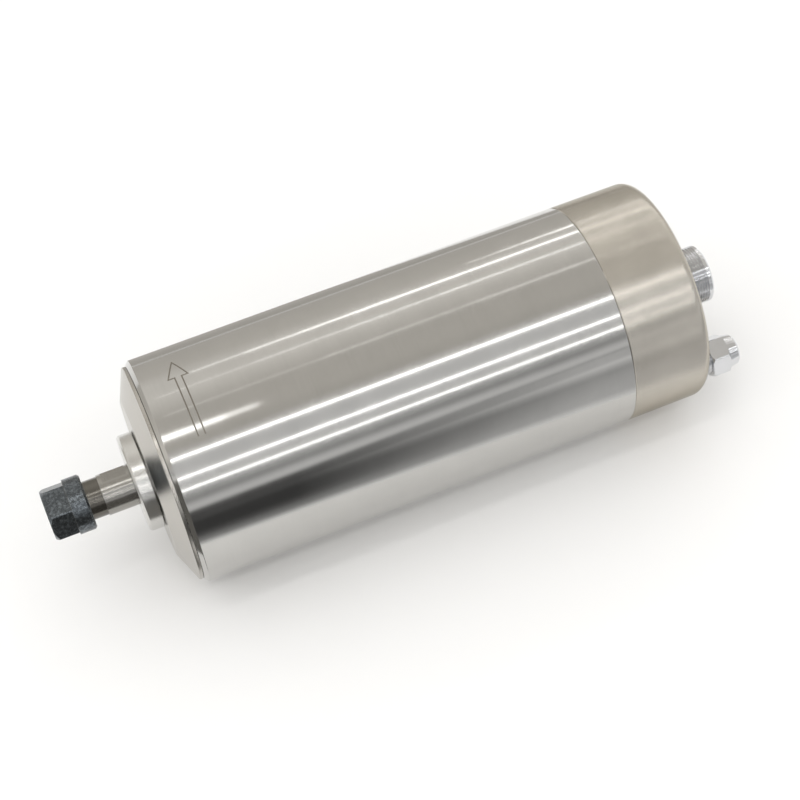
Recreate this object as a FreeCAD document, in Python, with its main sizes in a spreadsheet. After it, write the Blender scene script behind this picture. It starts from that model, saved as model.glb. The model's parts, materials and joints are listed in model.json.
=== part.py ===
"""Water-cooled motor spindle, 80 mm in diameter, for a router or engraving machine.

Millimetres. The spindle lies along X with its nose towards -X and its hose fittings towards +X.
The origin is on the spindle's axis, where the clamping cylinder begins behind its front chamfer.
Angles round the axis are counted from -Y towards +Z.
"""
import FreeCAD, Part
import math
import os

import Sketcher

# Every driving size, in millimetres or degrees, or a plain count
SIZES = {
    # Clearances
    "press_gap": 0.02,
    "seat_gap": 0.05,
    "turning_gap": 0.3,
    "ball_gap": 0.12,
    # Steel tube that a clamp holds
    "tube_radius": 40.0,
    "tube_wall": 2.25,
    "tube_length": 157.3,
    "tube_chamfer": 1.4,
    "seam_chamfer": 0.25,
    # Front bell, which carries the front bearings
    "bell_face_offset": 7.0,
    "bell_cone_rise": 10.4,
    "bell_land_offset": 2.7,
    "bell_rim_radius": 38.4,
    "bell_flange_depth": 15.0,
    "bell_spigot_length": 9.0,
    "bell_hub_depth": 17.3,
    "bell_spigot_wall": 3.0,
    "bell_lip_offset": 2.5,
    # Front bearings
    "front_bore_radius": 8.5,
    "front_outer_radius": 17.5,
    "front_bearing_width": 10.0,
    "front_ball_circle": 13.0,
    # Rear bearing
    "rear_bore_radius": 7.5,
    "rear_outer_radius": 16.0,
    "rear_bearing_width": 9.0,
    "rear_ball_circle": 11.75,
    "rear_bearing_start": 141.5,
    # Parts that the bearings share
    "ball_radius": 2.38,
    "front_ball_count": 10,
    "rear_ball_count": 9,
    "race_shoulder": 1.5,
    "cage_half_thickness": 0.9,
    "cage_side_gap": 1.0,
    "race_chamfer": 0.5,
    # Retainer behind the front bearings
    "retainer_thickness": 3.0,
    "retainer_side_gap": 1.5,
    "retainer_bore_radius": 14.2,
    "retainer_screw_radius": 1.5,
    "retainer_screw_head_radius": 2.75,
    "retainer_screw_head": 2.0,
    "retainer_screw_length": 9.0,
    "retainer_screw_count": 6,
    "retainer_screw_key": 2.5,
    "screw_key_share": 0.55,
    # Water jacket with its winding channel
    "jacket_end": 141.0,
    "jacket_wall": 6.7,
    "channel_depth": 4.8,
    "channel_start": 25.0,
    "channel_end": 132.0,
    "channel_turn": 9.0,
    "channel_width_angle": 17.0,
    "channel_step_angle": 30.0,
    "channel_count": 10,
    # Seals
    "seal_radius": 1.0,
    "seal_squeeze": 0.15,
    "seal_side_gap": 0.25,
    "bell_seal_offset": 8.0,
    "housing_seal_offset": 9.5,
    "port_seal_circle": 3.2,
    "port_seal_radius": 0.75,
    # Stator
    "stator_start": 40.0,
    "stator_end": 122.0,
    "stator_bore_radius": 16.7,
    "stator_yoke": 5.0,
    "slot_width": 5.0,
    "slot_mouth_width": 2.0,
    "slot_mouth_radius": 18.4,
    "slot_count": 12,
    "slot_liner": 0.25,
    "end_turn_length": 12.0,
    "end_turn_crown": 1.4,
    "end_turn_inner_radius": 18.6,
    "end_turn_inset": 3.5,
    # Rotor
    "air_gap": 0.5,
    "rotor_start": 42.0,
    "rotor_end": 120.0,
    "rotor_bar_depth": 3.6,
    "rotor_bar_width": 2.2,
    "rotor_bar_count": 16,
    "end_ring_length": 4.0,
    "end_ring_inner_radius": 11.0,
    # Shaft
    "shaft_front_offset": 38.0,
    "nose_thread_radius": 7.0,
    "nose_thread_end_offset": 28.9,
    "nose_neck_radius": 6.8,
    "nose_neck_end_offset": 23.5,
    "nose_radius": 7.2,
    "wrench_flat_width": 13.0,
    "wrench_flat_angle": 105.0,
    "wrench_flat_count": 2,
    "wrench_flat_start_offset": 22.0,
    "wrench_flat_end_offset": 13.6,
    "collar_radius": 10.4,
    "nut_thread_length": 7.5,
    "rotor_seat_radius": 8.0,
    "rotor_seat_end": 128.0,
    "shaft_end": 153.5,
    "shaft_chamfer": 0.5,
    "tool_hole_radius": 3.3,
    "tool_hole_depth": 34.0,
    # Dust cap on the shaft collar
    "cap_radius": 17.2,
    "cap_front_offset": 12.6,
    "cap_rear_offset": 7.3,
    "cap_web": 1.0,
    "cap_chamfer": 0.8,
    "cap_boss_radius": 12.5,
    "cap_boss_length": 3.3,
    # Lock nut behind the front bearings
    "lock_nut_radius": 13.0,
    "lock_nut_length": 6.0,
    "lock_nut_slot": 3.0,
    "lock_nut_slot_depth": 1.6,
    "lock_nut_slot_count": 4,
    # Parts at the rear end of the shaft
    "sleeve_radius": 9.6,
    "circlip_thickness": 1.0,
    "circlip_groove_radius": 7.0,
    "circlip_radius": 9.3,
    "circlip_gap": 3.0,
    "spring_thickness": 0.5,
    "spring_rise": 0.9,
    "spring_inner_radius": 13.5,
    # Spring collet, 11.5 mm size with an 8 degree taper
    "collet_face_offset": 42.2,
    "collet_length": 18.0,
    "collet_radius": 5.75,
    "collet_nose_radius": 4.75,
    "collet_nose_length": 2.0,
    "collet_groove_radius": 4.75,
    "collet_groove_width": 1.4,
    "collet_land": 1.1,
    "collet_taper_angle": 8.0,
    "taper_relief_lap": 1.0,
    "taper_relief_run": 2.2,
    "taper_relief_depth": 0.15,
    "collet_bore_radius": 3.0,
    "collet_slit": 0.6,
    "collet_slit_floor": 1.5,
    "collet_lip_gap": 0.2,
    "collet_slit_count": 6,
    "collet_slit_web": 3.0,
    "collet_slit_turn": 7.5,
    # Collet nut
    "nut_rear_offset": 28.7,
    "nut_collar_end_offset": 34.8,
    "nut_front_offset": 43.0,
    "nut_collar_radius": 9.8,
    "nut_collar_chamfer": 0.7,
    "nut_flats": 17.0,
    "nut_nose_radius": 8.4,
    "nut_nose_chamfer": 1.4,
    "nut_lip_radius": 5.2,
    "nut_corner_angle": 36.8,
    # Rear bearing housing
    "housing_spigot_length": 4.0,
    "housing_end": 154.3,
    "housing_lip_radius": 12.5,
    "wire_hole_inset": 3.3,
    "wire_hole_radius": 3.2,
    "wire_hole_angle": 45.0,
    # Rear cover
    "cover_end": 186.6,
    "cover_fillet": 3.7,
    "cover_shell_wall": 14.5,
    "cover_wall": 6.0,
    "cover_screw_inset": 8.5,
    "cover_screw_radius": 2.5,
    "cover_screw_head_radius": 4.25,
    "cover_screw_head": 5.0,
    "cover_screw_recess": 5.6,
    "cover_screw_key": 4.0,
    "cover_screw_bite": 8.0,
    "cover_screw_count": 4,
    # Water ports and their compression fittings
    "port_inset": 10.4,
    "port_count": 2,
    "port_angle": 45.0,
    "port_hole_radius": 2.4,
    "passage_radius": 1.9,
    "passage_exit_inset": 2.8,
    "port_thread_radius": 5.0,
    "port_thread_length": 5.0,
    "nipple_hex_flats": 13.0,
    "nipple_hex_length": 4.0,
    "nipple_thread_radius": 5.3,
    "nipple_length": 12.2,
    "nipple_socket_depth": 7.0,
    "nipple_cone_depth": 1.2,
    "tube_socket_radius": 3.05,
    "olive_gap": 0.15,
    "olive_middle": 0.7,
    "union_nut_start": 6.6,
    "union_nut_hex_length": 7.0,
    "union_nut_flats": 13.0,
    "union_nut_nose_radius": 5.5,
    "union_nut_nose_base_radius": 6.2,
    "union_nut_nose_length": 4.1,
    "union_nut_shoulder_radius": 6.4,
    "union_nut_taper_length": 0.8,
    "union_nut_chamfer": 0.7,
    "union_nut_corner_angle": 35.0,
    # Connector
    "shell_radius": 10.4,
    "shell_length": 16.3,
    "shell_lip_chamfer": 0.7,
    "shell_flange_radius": 12.5,
    "shell_flange": 2.0,
    "shell_mouth_radius": 8.9,
    "shell_mouth_depth": 12.5,
    "shell_stem_radius": 9.4,
    "shell_stem_length": 10.0,
    "shell_stem_bore_radius": 7.6,
    "shell_nut_flats": 24.0,
    "shell_nut_length": 3.5,
    "insert_recess": 5.5,
    "insert_tail": 2.0,
    "pin_radius": 1.25,
    "pin_circle": 5.0,
    "pin_count": 4,
    "pin_tip_recess": 1.8,
    "pin_tail_length": 5.0,
    "pin_chamfer": 0.5,
    # Phase leads
    "lead_radius": 0.9,
    "lead_circle": 1.25,
    "lead_count": 3,
    "lead_bend_radius": 3.0,
    "lead_straight": 26.0,
    "lead_end_run": 3.6,
    "lead_pin_step": 90.0,
}

COSINE_30 = math.cos(math.radians(30.0))
FULL_TURN = 360.0
# How far a cut is drawn past the surface that it leaves through
OVERRUN = 1.0
AXIS_X = FreeCAD.Vector(1, 0, 0)

doc = FreeCAD.newDocument("MotorSpindle")
sheet = doc.addObject("Spreadsheet::Sheet", "Sizes")
for row, (word, value) in enumerate(SIZES.items(), start=1):
    sheet.set(f"A{row}", word)
    sheet.set(f"B{row}", str(value))
    sheet.setAlias(f"B{row}", word)
doc.recompute()


class Size:
    """A length or angle that keeps both its formula in sheet cells and its present value."""

    def __init__(self, formula, value):
        self.formula = formula
        self.value = value

    @staticmethod
    def of(thing):
        return thing if isinstance(thing, Size) else Size(repr(float(thing)), float(thing))

    def join(self, sign, other, value):
        return Size(f"({self.formula} {sign} {Size.of(other).formula})", value)

    def __add__(self, other):
        return self.join("+", other, self.value + Size.of(other).value)

    def __sub__(self, other):
        return self.join("-", other, self.value - Size.of(other).value)

    def __mul__(self, other):
        return self.join("*", other, self.value * Size.of(other).value)

    def __truediv__(self, other):
        return self.join("/", other, self.value / Size.of(other).value)

    def __rmul__(self, other):
        return Size.of(other) * self

    def __rtruediv__(self, other):
        return Size.of(other) / self

    def __radd__(self, other):
        return Size.of(other) + self

    def __rsub__(self, other):
        return Size.of(other) - self

    def __neg__(self):
        return Size(f"(0 - {self.formula})", -self.value)


class Sizes:
    """Every cell of the sheet as a Size, under its alias."""

    def __init__(self, cells):
        for cell in cells:
            setattr(self, cell, Size(f"Sizes.{cell}", float(sheet.get(cell))))


d = Sizes(SIZES)


def trig(name, angle):
    """The sine, cosine or tangent of an angle in degrees, as a Size."""
    angle = Size.of(angle)
    value = getattr(math, name)(math.radians(angle.value))
    return Size(f"{name}({angle.formula} * 1deg)", value)


def around(circle, angle):
    """The y and z of a point on a circle round the axis, at an angle from -Y towards +Z."""
    return -(circle * trig("cos", angle)), circle * trig("sin", angle)


# Lines of pieces that several parts share
tube_bore = d.tube_radius - d.tube_wall
bell_radius = tube_bore - d.seat_gap
rim_back = -(d.tube_chamfer + d.seat_gap)
jacket_radius = tube_bore - d.seat_gap
jacket_bore = tube_bore - d.jacket_wall
channel_floor = jacket_radius - d.channel_depth
spigot_radius = jacket_bore - d.seat_gap
stator_radius = jacket_bore - d.seat_gap
slot_outer = stator_radius - d.stator_yoke
front_stack_start = -d.bell_lip_offset
front_stack_end = front_stack_start + 2 * d.front_bearing_width
bell_hub_radius = spigot_radius - d.bell_spigot_wall
retainer_radius = bell_hub_radius - d.retainer_side_gap
retainer_screw_circle = (d.front_outer_radius + bell_hub_radius) / 2
jacket_start = d.bell_flange_depth
cover_cavity = d.tube_radius - d.cover_shell_wall
cover_screw_circle = d.tube_radius - d.cover_screw_inset
port_circle = d.tube_radius - d.port_inset
wire_hole_circle = cover_cavity - d.wire_hole_inset
rotor_radius = d.stator_bore_radius - d.air_gap
rear_bearing_end = d.rear_bearing_start + d.rear_bearing_width
housing_start = d.jacket_end - d.housing_spigot_length
seal_groove_radius = tube_bore - 2 * d.seal_radius + d.seal_squeeze
seal_ring_radius = seal_groove_radius + d.seal_radius
seal_half_groove = d.seal_radius + d.seal_side_gap
bell_seal_middle = d.bell_seal_offset
housing_seal_middle = d.jacket_end + d.housing_seal_offset
cover_inner_face = d.cover_end - d.cover_wall
spring_start = d.rear_bearing_start - d.spring_thickness - d.spring_rise
port_seal_outer = d.port_seal_circle + d.port_seal_radius + d.seal_side_gap / 2
port_seal_depth = 2 * d.port_seal_radius - d.seal_squeeze
collet_taper_start = (-d.collet_face_offset + d.collet_nose_length + d.collet_groove_width
                      + d.collet_land)
shell_end = d.cover_end + d.shell_length
insert_face = shell_end - d.insert_recess

bodies = {}


def new_body(label):
    body = doc.addObject("PartDesign::Body", label)
    body.Label = label
    bodies[label] = body
    return body


def origin_part(body, role):
    return [part for part in body.Origin.OriginFeatures if part.Role == role][0]


def new_sketch(body, name, plane, angle=0.0, offset=None):
    """A sketch on one of the body's planes, turned round X (XZ_Plane) or moved along X (YZ_Plane)."""
    sketch = body.newObject("Sketcher::SketchObject", name)
    sketch.AttachmentSupport = [(origin_part(body, plane), "")]
    sketch.MapMode = "FlatFace"
    axis = FreeCAD.Vector(1, 0, 0) if plane == "XZ_Plane" else FreeCAD.Vector(0, 0, 1)
    turn = FreeCAD.Rotation(axis, Size.of(angle).value)
    sketch.AttachmentOffset = FreeCAD.Placement(FreeCAD.Vector(), turn)
    if isinstance(angle, Size):
        sketch.setExpression("AttachmentOffset.Rotation.Angle", angle.formula)
    if offset is not None:
        sketch.setExpression("AttachmentOffset.Base.z", Size.of(offset).formula)
    return sketch


def bind(sketch, kind, *place, size):
    size = Size.of(size)
    number = sketch.addConstraint(Sketcher.Constraint(kind, *place, size.value))
    sketch.setExpression(f"Constraints[{number}]", size.formula)


def plane_turn(angle):
    """How far to turn a plane through X from +Z so that it lies at an angle from -Y towards +Z."""
    return 90 - angle


def draw_outline(sketch, points):
    """A closed outline of straight lines whose corners are bound to the sheet."""
    corners = [(Size.of(x), Size.of(y)) for x, y in points]
    first = len(sketch.Geometry)
    count = len(corners)
    for number, (x, y) in enumerate(corners):
        nx, ny = corners[(number + 1) % count]
        start = FreeCAD.Vector(x.value, y.value, 0)
        end = FreeCAD.Vector(nx.value, ny.value, 0)
        sketch.addGeometry(Part.LineSegment(start, end), False)
    for number in range(count):
        after = first + (number + 1) % count
        sketch.addConstraint(Sketcher.Constraint("Coincident", first + number, 2, after, 1))
    for number, (x, y) in enumerate(corners):
        bind(sketch, "DistanceX", -1, 1, first + number, 1, size=x)
        bind(sketch, "DistanceY", -1, 1, first + number, 1, size=y)


def draw_circle(sketch, y, z, radius):
    y, z, radius = Size.of(y), Size.of(z), Size.of(radius)
    centre = FreeCAD.Vector(y.value, z.value, 0)
    number = sketch.addGeometry(Part.Circle(centre, FreeCAD.Vector(0, 0, 1), radius.value), False)
    bind(sketch, "DistanceX", -1, 1, number, 3, size=y)
    bind(sketch, "DistanceY", -1, 1, number, 3, size=z)
    bind(sketch, "Radius", number, size=radius)


def turned(label, points):
    """A piece turned round X from an outline of (x, radius) corners."""
    body = new_body(label)
    sketch = new_sketch(body, f"{label}_outline", "XZ_Plane")
    draw_outline(sketch, points)
    turn = body.newObject("PartDesign::Revolution", f"{label}_turned")
    turn.Profile = sketch
    turn.ReferenceAxis = (sketch, ["H_Axis"])
    turn.Angle = FULL_TURN
    doc.recompute()
    return body


def ring(label, start, end, inner, outer):
    return turned(label, [(start, inner), (end, inner), (end, outer), (start, outer)])


def cut_and_check(body, feature):
    """Recomputes the body and stops if a cut took nothing away."""
    before = feature.BaseFeature.Shape.Volume if feature.BaseFeature else 0.0
    doc.recompute()
    if not feature.Shape.Volume < before - 1e-6:
        raise RuntimeError(f"{body.Label}: {feature.Label} cuts nothing")


def turn_away(body, name, points, angle=0.0, sweep=FULL_TURN):
    """Takes away an outline turned round X, all round or over a sector that starts at an angle."""
    sketch = new_sketch(body, f"{name}_outline", "XZ_Plane", angle)
    draw_outline(sketch, points)
    cut = body.newObject("PartDesign::Groove", name)
    cut.Profile = sketch
    cut.ReferenceAxis = (sketch, ["H_Axis"])
    cut.Angle = Size.of(sweep).value
    if isinstance(sweep, Size):
        cut.setExpression("Angle", sweep.formula)
    cut_and_check(body, cut)
    return cut


def pocket(body, name, sketch, length=None, forward=True):
    """Cuts a sketch drawn across the axis, through everything or to a depth, towards +X or -X."""
    cut = body.newObject("PartDesign::Pocket", name)
    cut.Profile = sketch
    cut.Reversed = forward
    if length is None:
        cut.Type = "ThroughAll"
    else:
        cut.Type = "Length"
        cut.Length = Size.of(length).value
        cut.setExpression("Length", Size.of(length).formula)
    cut_and_check(body, cut)
    return cut


def drill(body, name, start, places, radius, depth=None, forward=True):
    """Round holes along X at the (y, z) places."""
    sketch = new_sketch(body, f"{name}_centres", "YZ_Plane", offset=start)
    for y, z in places:
        draw_circle(sketch, y, z, radius)
    return pocket(body, name, sketch, depth, forward)


def pad(body, name, sketch, length):
    grown = body.newObject("PartDesign::Pad", name)
    grown.Profile = sketch
    grown.Type = "Length"
    grown.Length = Size.of(length).value
    grown.setExpression("Length", Size.of(length).formula)
    doc.recompute()
    return grown


def repeat(body, name, feature, count, total_angle):
    """Copies a feature round X. The total angle runs from the first copy to the last one."""
    pattern = body.newObject("PartDesign::PolarPattern", name)
    pattern.Originals = [feature]
    pattern.Axis = (origin_part(body, "X_Axis"), [""])
    pattern.Angle = Size.of(total_angle).value
    pattern.setExpression("Angle", Size.of(total_angle).formula)
    pattern.Occurrences = int(round(Size.of(count).value))
    pattern.setExpression("Occurrences", Size.of(count).formula)
    body.Tip = pattern
    doc.recompute()
    return pattern


def hexagon(flats):
    """The corners of a hexagon across X, with a corner towards -Y."""
    corner = flats / (2 * COSINE_30)
    turns = [math.radians(60.0 * number) for number in range(6)]
    return [(corner * -math.cos(turn), corner * math.sin(turn)) for turn in turns]


def holes_around(circle, count, first_angle=0.0):
    step = FULL_TURN / int(round(count.value))
    return [around(circle, first_angle + step * number) for number in range(int(round(count.value)))]


def make_body_tube():
    """Steel tube with its front chamfer and a fine break at the seam with the rear cover."""
    turned("body_tube", [
        (-d.tube_chamfer, tube_bore),
        (d.tube_length, tube_bore),
        (d.tube_length, d.tube_radius - d.seam_chamfer),
        (d.tube_length - d.seam_chamfer, d.tube_radius),
        (0, d.tube_radius),
        (-d.tube_chamfer, d.tube_radius - d.tube_chamfer),
    ])


def make_front_bell():
    """Coned end bell with a labyrinth lip, the front bearing seat, a seal groove and a spigot."""
    seat = d.front_outer_radius + d.press_gap
    lip = d.cap_boss_radius + d.turning_gap
    body = turned("front_bell", [
        (-d.bell_face_offset, lip),
        (front_stack_start, lip),
        (front_stack_start, seat),
        (d.bell_hub_depth, seat),
        (d.bell_hub_depth, bell_hub_radius),
        (d.bell_flange_depth + d.bell_spigot_length, bell_hub_radius),
        (d.bell_flange_depth + d.bell_spigot_length, spigot_radius),
        (d.bell_flange_depth, spigot_radius),
        (d.bell_flange_depth, bell_radius),
        (rim_back, bell_radius),
        (rim_back, d.bell_rim_radius),
        (-d.bell_land_offset, d.bell_rim_radius),
        (-d.bell_face_offset, d.bell_rim_radius - d.bell_cone_rise),
    ])
    turn_away(body, "bell_seal_groove", seal_groove(bell_seal_middle))
    drill(body, "retainer_tapped_holes", d.bell_hub_depth,
          holes_around(retainer_screw_circle, d.retainer_screw_count),
          d.retainer_screw_radius + d.seat_gap,
          d.retainer_screw_length - d.retainer_thickness + d.turning_gap, forward=False)


def seal_groove(middle):
    outside = d.tube_radius
    return [
        (middle - seal_half_groove, seal_groove_radius),
        (middle + seal_half_groove, seal_groove_radius),
        (middle + seal_half_groove, outside),
        (middle - seal_half_groove, outside),
    ]


def make_retainer():
    """Plate that clamps the outer rings, held by socket head screws round it."""
    end = front_stack_end + d.retainer_thickness
    body = ring("front_bearing_retainer", front_stack_end, end, d.retainer_bore_radius, retainer_radius)
    places = holes_around(retainer_screw_circle, d.retainer_screw_count)
    drill(body, "retainer_holes", front_stack_end, places, d.retainer_screw_radius + d.seat_gap * 2)
    screws = []
    for y, z in places:
        shank_start = end - d.retainer_screw_length
        screws.append(screw(shank_start, end, y, z, d.retainer_screw_radius,
                            d.retainer_screw_head_radius, d.retainer_screw_head, d.retainer_screw_key))
    add_shape("retainer_screws", Part.makeCompound(screws))


def screw(start, seat, y, z, radius, head_radius, head, key_flats):
    """A socket head screw along X whose head sits on a face that looks towards +X."""
    at = FreeCAD.Vector(start.value, y.value, z.value)
    shank = Part.makeCylinder(radius.value, seat.value - start.value, at, AXIS_X)
    at = FreeCAD.Vector(seat.value, y.value, z.value)
    top = Part.makeCylinder(head_radius.value, head.value, at, AXIS_X)
    key_depth = head.value * d.screw_key_share.value
    corner = key_flats.value / (2 * COSINE_30)
    face = seat.value + head.value
    corners = []
    for number in range(7):
        turn = math.radians(60.0 * number)
        corners.append(FreeCAD.Vector(face, y.value + corner * math.cos(turn), z.value + corner * math.sin(turn)))
    key = Part.Face(Part.makePolygon(corners)).extrude(FreeCAD.Vector(-key_depth, 0, 0))
    return shank.fuse(top).cut(key).removeSplitter()


def add_shape(label, shape):
    """A piece whose form is computed here from the sheet's values."""
    feature = doc.addObject("Part::Feature", label)
    feature.Label = label
    feature.Shape = shape
    bodies[label] = feature
    return feature


def make_bearing(name, start, bore, outer_radius, width, circle, ball_count):
    """One ball bearing: two grooved rings, a pocketed cage and its balls."""
    middle = start + width / 2
    end = start + width
    inner_land = circle - d.race_shoulder
    outer_land = circle + d.race_shoulder
    inner = ring(f"{name}_inner_ring", start, end, bore + d.press_gap, inner_land)
    outer = turned(f"{name}_outer_ring", [
        (start, outer_land),
        (end, outer_land),
        (end, outer_radius - d.race_chamfer),
        (end - d.race_chamfer, outer_radius),
        (start + d.race_chamfer, outer_radius),
        (start, outer_radius - d.race_chamfer),
    ])
    for race in (inner, outer):
        cut_raceway(race, middle, circle)
    cage_half = width / 2 - d.cage_side_gap
    cage = ring(f"{name}_cage", middle - cage_half, middle + cage_half,
                circle - d.cage_half_thickness, circle + d.cage_half_thickness)
    cut_pockets(cage, middle, ball_count)
    balls = []
    for number in range(int(ball_count.value)):
        turn = 2 * math.pi * number / ball_count.value
        centre = FreeCAD.Vector(middle.value, circle.value * math.sin(turn), circle.value * math.cos(turn))
        balls.append(Part.makeSphere(d.ball_radius.value, centre))
    add_shape(f"{name}_balls", Part.makeCompound(balls))


def cut_raceway(race, middle, circle):
    """A round groove in which the balls run."""
    sketch = new_sketch(race, f"{race.Label}_raceway_outline", "XZ_Plane")
    draw_circle(sketch, middle, circle, d.ball_radius + d.ball_gap)
    groove = race.newObject("PartDesign::Groove", f"{race.Label}_raceway")
    groove.Profile = sketch
    groove.ReferenceAxis = (sketch, ["H_Axis"])
    groove.Angle = FULL_TURN
    cut_and_check(race, groove)


def cut_pockets(cage, middle, ball_count):
    """Round pockets through the cage, one for each ball, the first towards +Z."""
    sketch = new_sketch(cage, f"{cage.Label}_pocket_outline", "XY_Plane")
    draw_circle(sketch, middle, 0, d.ball_radius + d.ball_gap)
    cut = cage.newObject("PartDesign::Pocket", f"{cage.Label}_pocket")
    cut.Profile = sketch
    cut.Type = "ThroughAll"
    cut.Reversed = True
    cut_and_check(cage, cut)
    repeat(cage, f"{cage.Label}_pockets", cut, ball_count, FULL_TURN)


def make_water_jacket():
    """Sleeve round the stator. Water runs to and fro along it in one winding channel."""
    body = ring("water_jacket", jacket_start, d.jacket_end, jacket_bore, jacket_radius)
    outside = d.tube_radius

    def band(start, end):
        return [(start, channel_floor), (end, channel_floor), (end, outside), (start, outside)]

    steps = d.channel_count - 1
    first = plane_turn(180 + d.port_angle + d.channel_width_angle / 2)
    whole = d.channel_step_angle * steps
    lane = turn_away(body, "channel", band(d.channel_start, d.channel_end), first, d.channel_width_angle)
    repeat(body, "channels", lane, d.channel_count, whole)
    joined = d.channel_step_angle + d.channel_width_angle
    front = turn_away(body, "front_turn", band(d.channel_start, d.channel_start + d.channel_turn),
                      first, joined)
    repeat(body, "front_turns", front, d.channel_count / 2, whole - d.channel_step_angle)
    rear = turn_away(body, "rear_turn", band(d.channel_end - d.channel_turn, d.channel_end),
                     first + d.channel_step_angle, joined)
    repeat(body, "rear_turns", rear, d.channel_count / 2 - 1, whole - 3 * d.channel_step_angle)
    port = turn_away(body, "port_mouth", band(d.channel_end - d.channel_turn, d.jacket_end + OVERRUN),
                     first, d.channel_width_angle)
    repeat(body, "port_mouths", port, d.port_count, whole)


def make_seals():
    """Sealing rings at both ends of the jacket, flattened where the tube presses on them."""
    rings = []
    for middle in (bell_seal_middle, housing_seal_middle):
        centre = FreeCAD.Vector(middle.value, 0, 0)
        free = Part.makeTorus(seal_ring_radius.value, d.seal_radius.value, centre, AXIS_X)
        start = FreeCAD.Vector((middle - seal_half_groove).value, 0, 0)
        room = Part.makeCylinder(tube_bore.value, 2 * seal_half_groove.value, start, AXIS_X)
        rings.append(free.common(room))
    add_shape("jacket_seals", Part.makeCompound(rings))


def make_lock_nut():
    """Slotted round nut that clamps the inner rings against the shaft's collar."""
    body = ring("bearing_lock_nut", front_stack_end, front_stack_end + d.lock_nut_length,
                d.front_bore_radius + d.seat_gap, d.lock_nut_radius)
    sketch = new_sketch(body, "lock_nut_slot_outline", "YZ_Plane", offset=front_stack_end)
    floor = d.lock_nut_radius - d.lock_nut_slot_depth
    half = d.lock_nut_slot / 2
    top = d.lock_nut_radius + OVERRUN
    draw_outline(sketch, [(-half, floor), (half, floor), (half, top), (-half, top)])
    slot = pocket(body, "lock_nut_slot", sketch)
    repeat(body, "lock_nut_slots", slot, d.lock_nut_slot_count, FULL_TURN)


def make_rear_bearing_housing():
    """Rear end plate: bearing seat, water passages, wire hole, seal groove and tapped holes."""
    seat = d.rear_outer_radius + d.press_gap
    lip_face = spring_start
    body = turned("rear_bearing_housing", [
        (housing_start, d.housing_lip_radius),
        (lip_face, d.housing_lip_radius),
        (lip_face, seat),
        (d.housing_end, seat),
        (d.housing_end, bell_radius),
        (d.jacket_end, bell_radius),
        (d.jacket_end, spigot_radius),
        (housing_start, spigot_radius),
    ])
    turn_away(body, "housing_seal_groove", seal_groove(housing_seal_middle))
    wires = [around(wire_hole_circle, d.wire_hole_angle)]
    drill(body, "wire_hole", housing_start, wires, d.wire_hole_radius)
    screws = holes_around(cover_screw_circle, d.cover_screw_count)
    drill(body, "tapped_holes", d.housing_end, screws, d.cover_screw_radius + d.seat_gap,
          d.cover_screw_bite + d.turning_gap, forward=False)
    drill(body, "port_seal_seats", d.housing_end, port_places(port_circle), port_seal_outer,
          port_seal_depth, forward=False)
    for number, angle in enumerate(port_angles()):
        near = new_sketch(body, f"passage_{number}_near", "YZ_Plane", offset=d.housing_end)
        draw_circle(near, *around(port_circle, angle), d.passage_radius)
        far = new_sketch(body, f"passage_{number}_far", "YZ_Plane", offset=d.jacket_end)
        draw_circle(far, *around((jacket_radius - d.passage_exit_inset), angle), d.passage_radius)
        passage = body.newObject("PartDesign::SubtractiveLoft", f"passage_{number}")
        passage.Profile = near
        passage.Sections = [far]
        cut_and_check(body, passage)


def port_angles():
    """The two water ports lie below the axis, one to each side."""
    return [-d.port_angle, 180 + d.port_angle]


def port_places(circle):
    return [around(circle, angle) for angle in port_angles()]


def make_port_seals():
    """Sealing rings round both water passages, flattened between the housing and the cover."""
    rings = []
    for y, z in port_places(port_circle):
        centre = FreeCAD.Vector((d.housing_end - port_seal_depth / 2).value, y.value, z.value)
        free = Part.makeTorus(d.port_seal_circle.value, d.port_seal_radius.value, centre, AXIS_X)
        start = FreeCAD.Vector((d.housing_end - port_seal_depth).value, y.value, z.value)
        room = Part.makeCylinder(port_seal_outer.value, port_seal_depth.value, start, AXIS_X)
        rings.append(free.common(room))
    add_shape("port_seals", Part.makeCompound(rings))


def make_disc_spring():
    """Coned spring that preloads the rear bearing's outer ring."""
    outer = d.rear_outer_radius - d.seat_gap
    turned("preload_disc_spring", [
        (spring_start, d.spring_inner_radius),
        (spring_start + d.spring_thickness, d.spring_inner_radius),
        (spring_start + d.spring_thickness + d.spring_rise, outer),
        (spring_start + d.spring_rise, outer),
    ])


def make_distance_sleeve():
    ring("rear_distance_sleeve", d.rotor_seat_end, d.rear_bearing_start,
         d.rear_bore_radius + d.press_gap, d.sleeve_radius)


def make_circlip():
    body = ring("rear_circlip", rear_bearing_end, rear_bearing_end + d.circlip_thickness,
                d.circlip_groove_radius + d.seat_gap, d.circlip_radius)
    sketch = new_sketch(body, "circlip_gap_outline", "YZ_Plane", offset=rear_bearing_end)
    half = d.circlip_gap / 2
    top = d.circlip_radius + OVERRUN
    draw_outline(sketch, [(-half, 0), (half, 0), (half, top), (-half, top)])
    pocket(body, "circlip_gap_cut", sketch)


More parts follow.
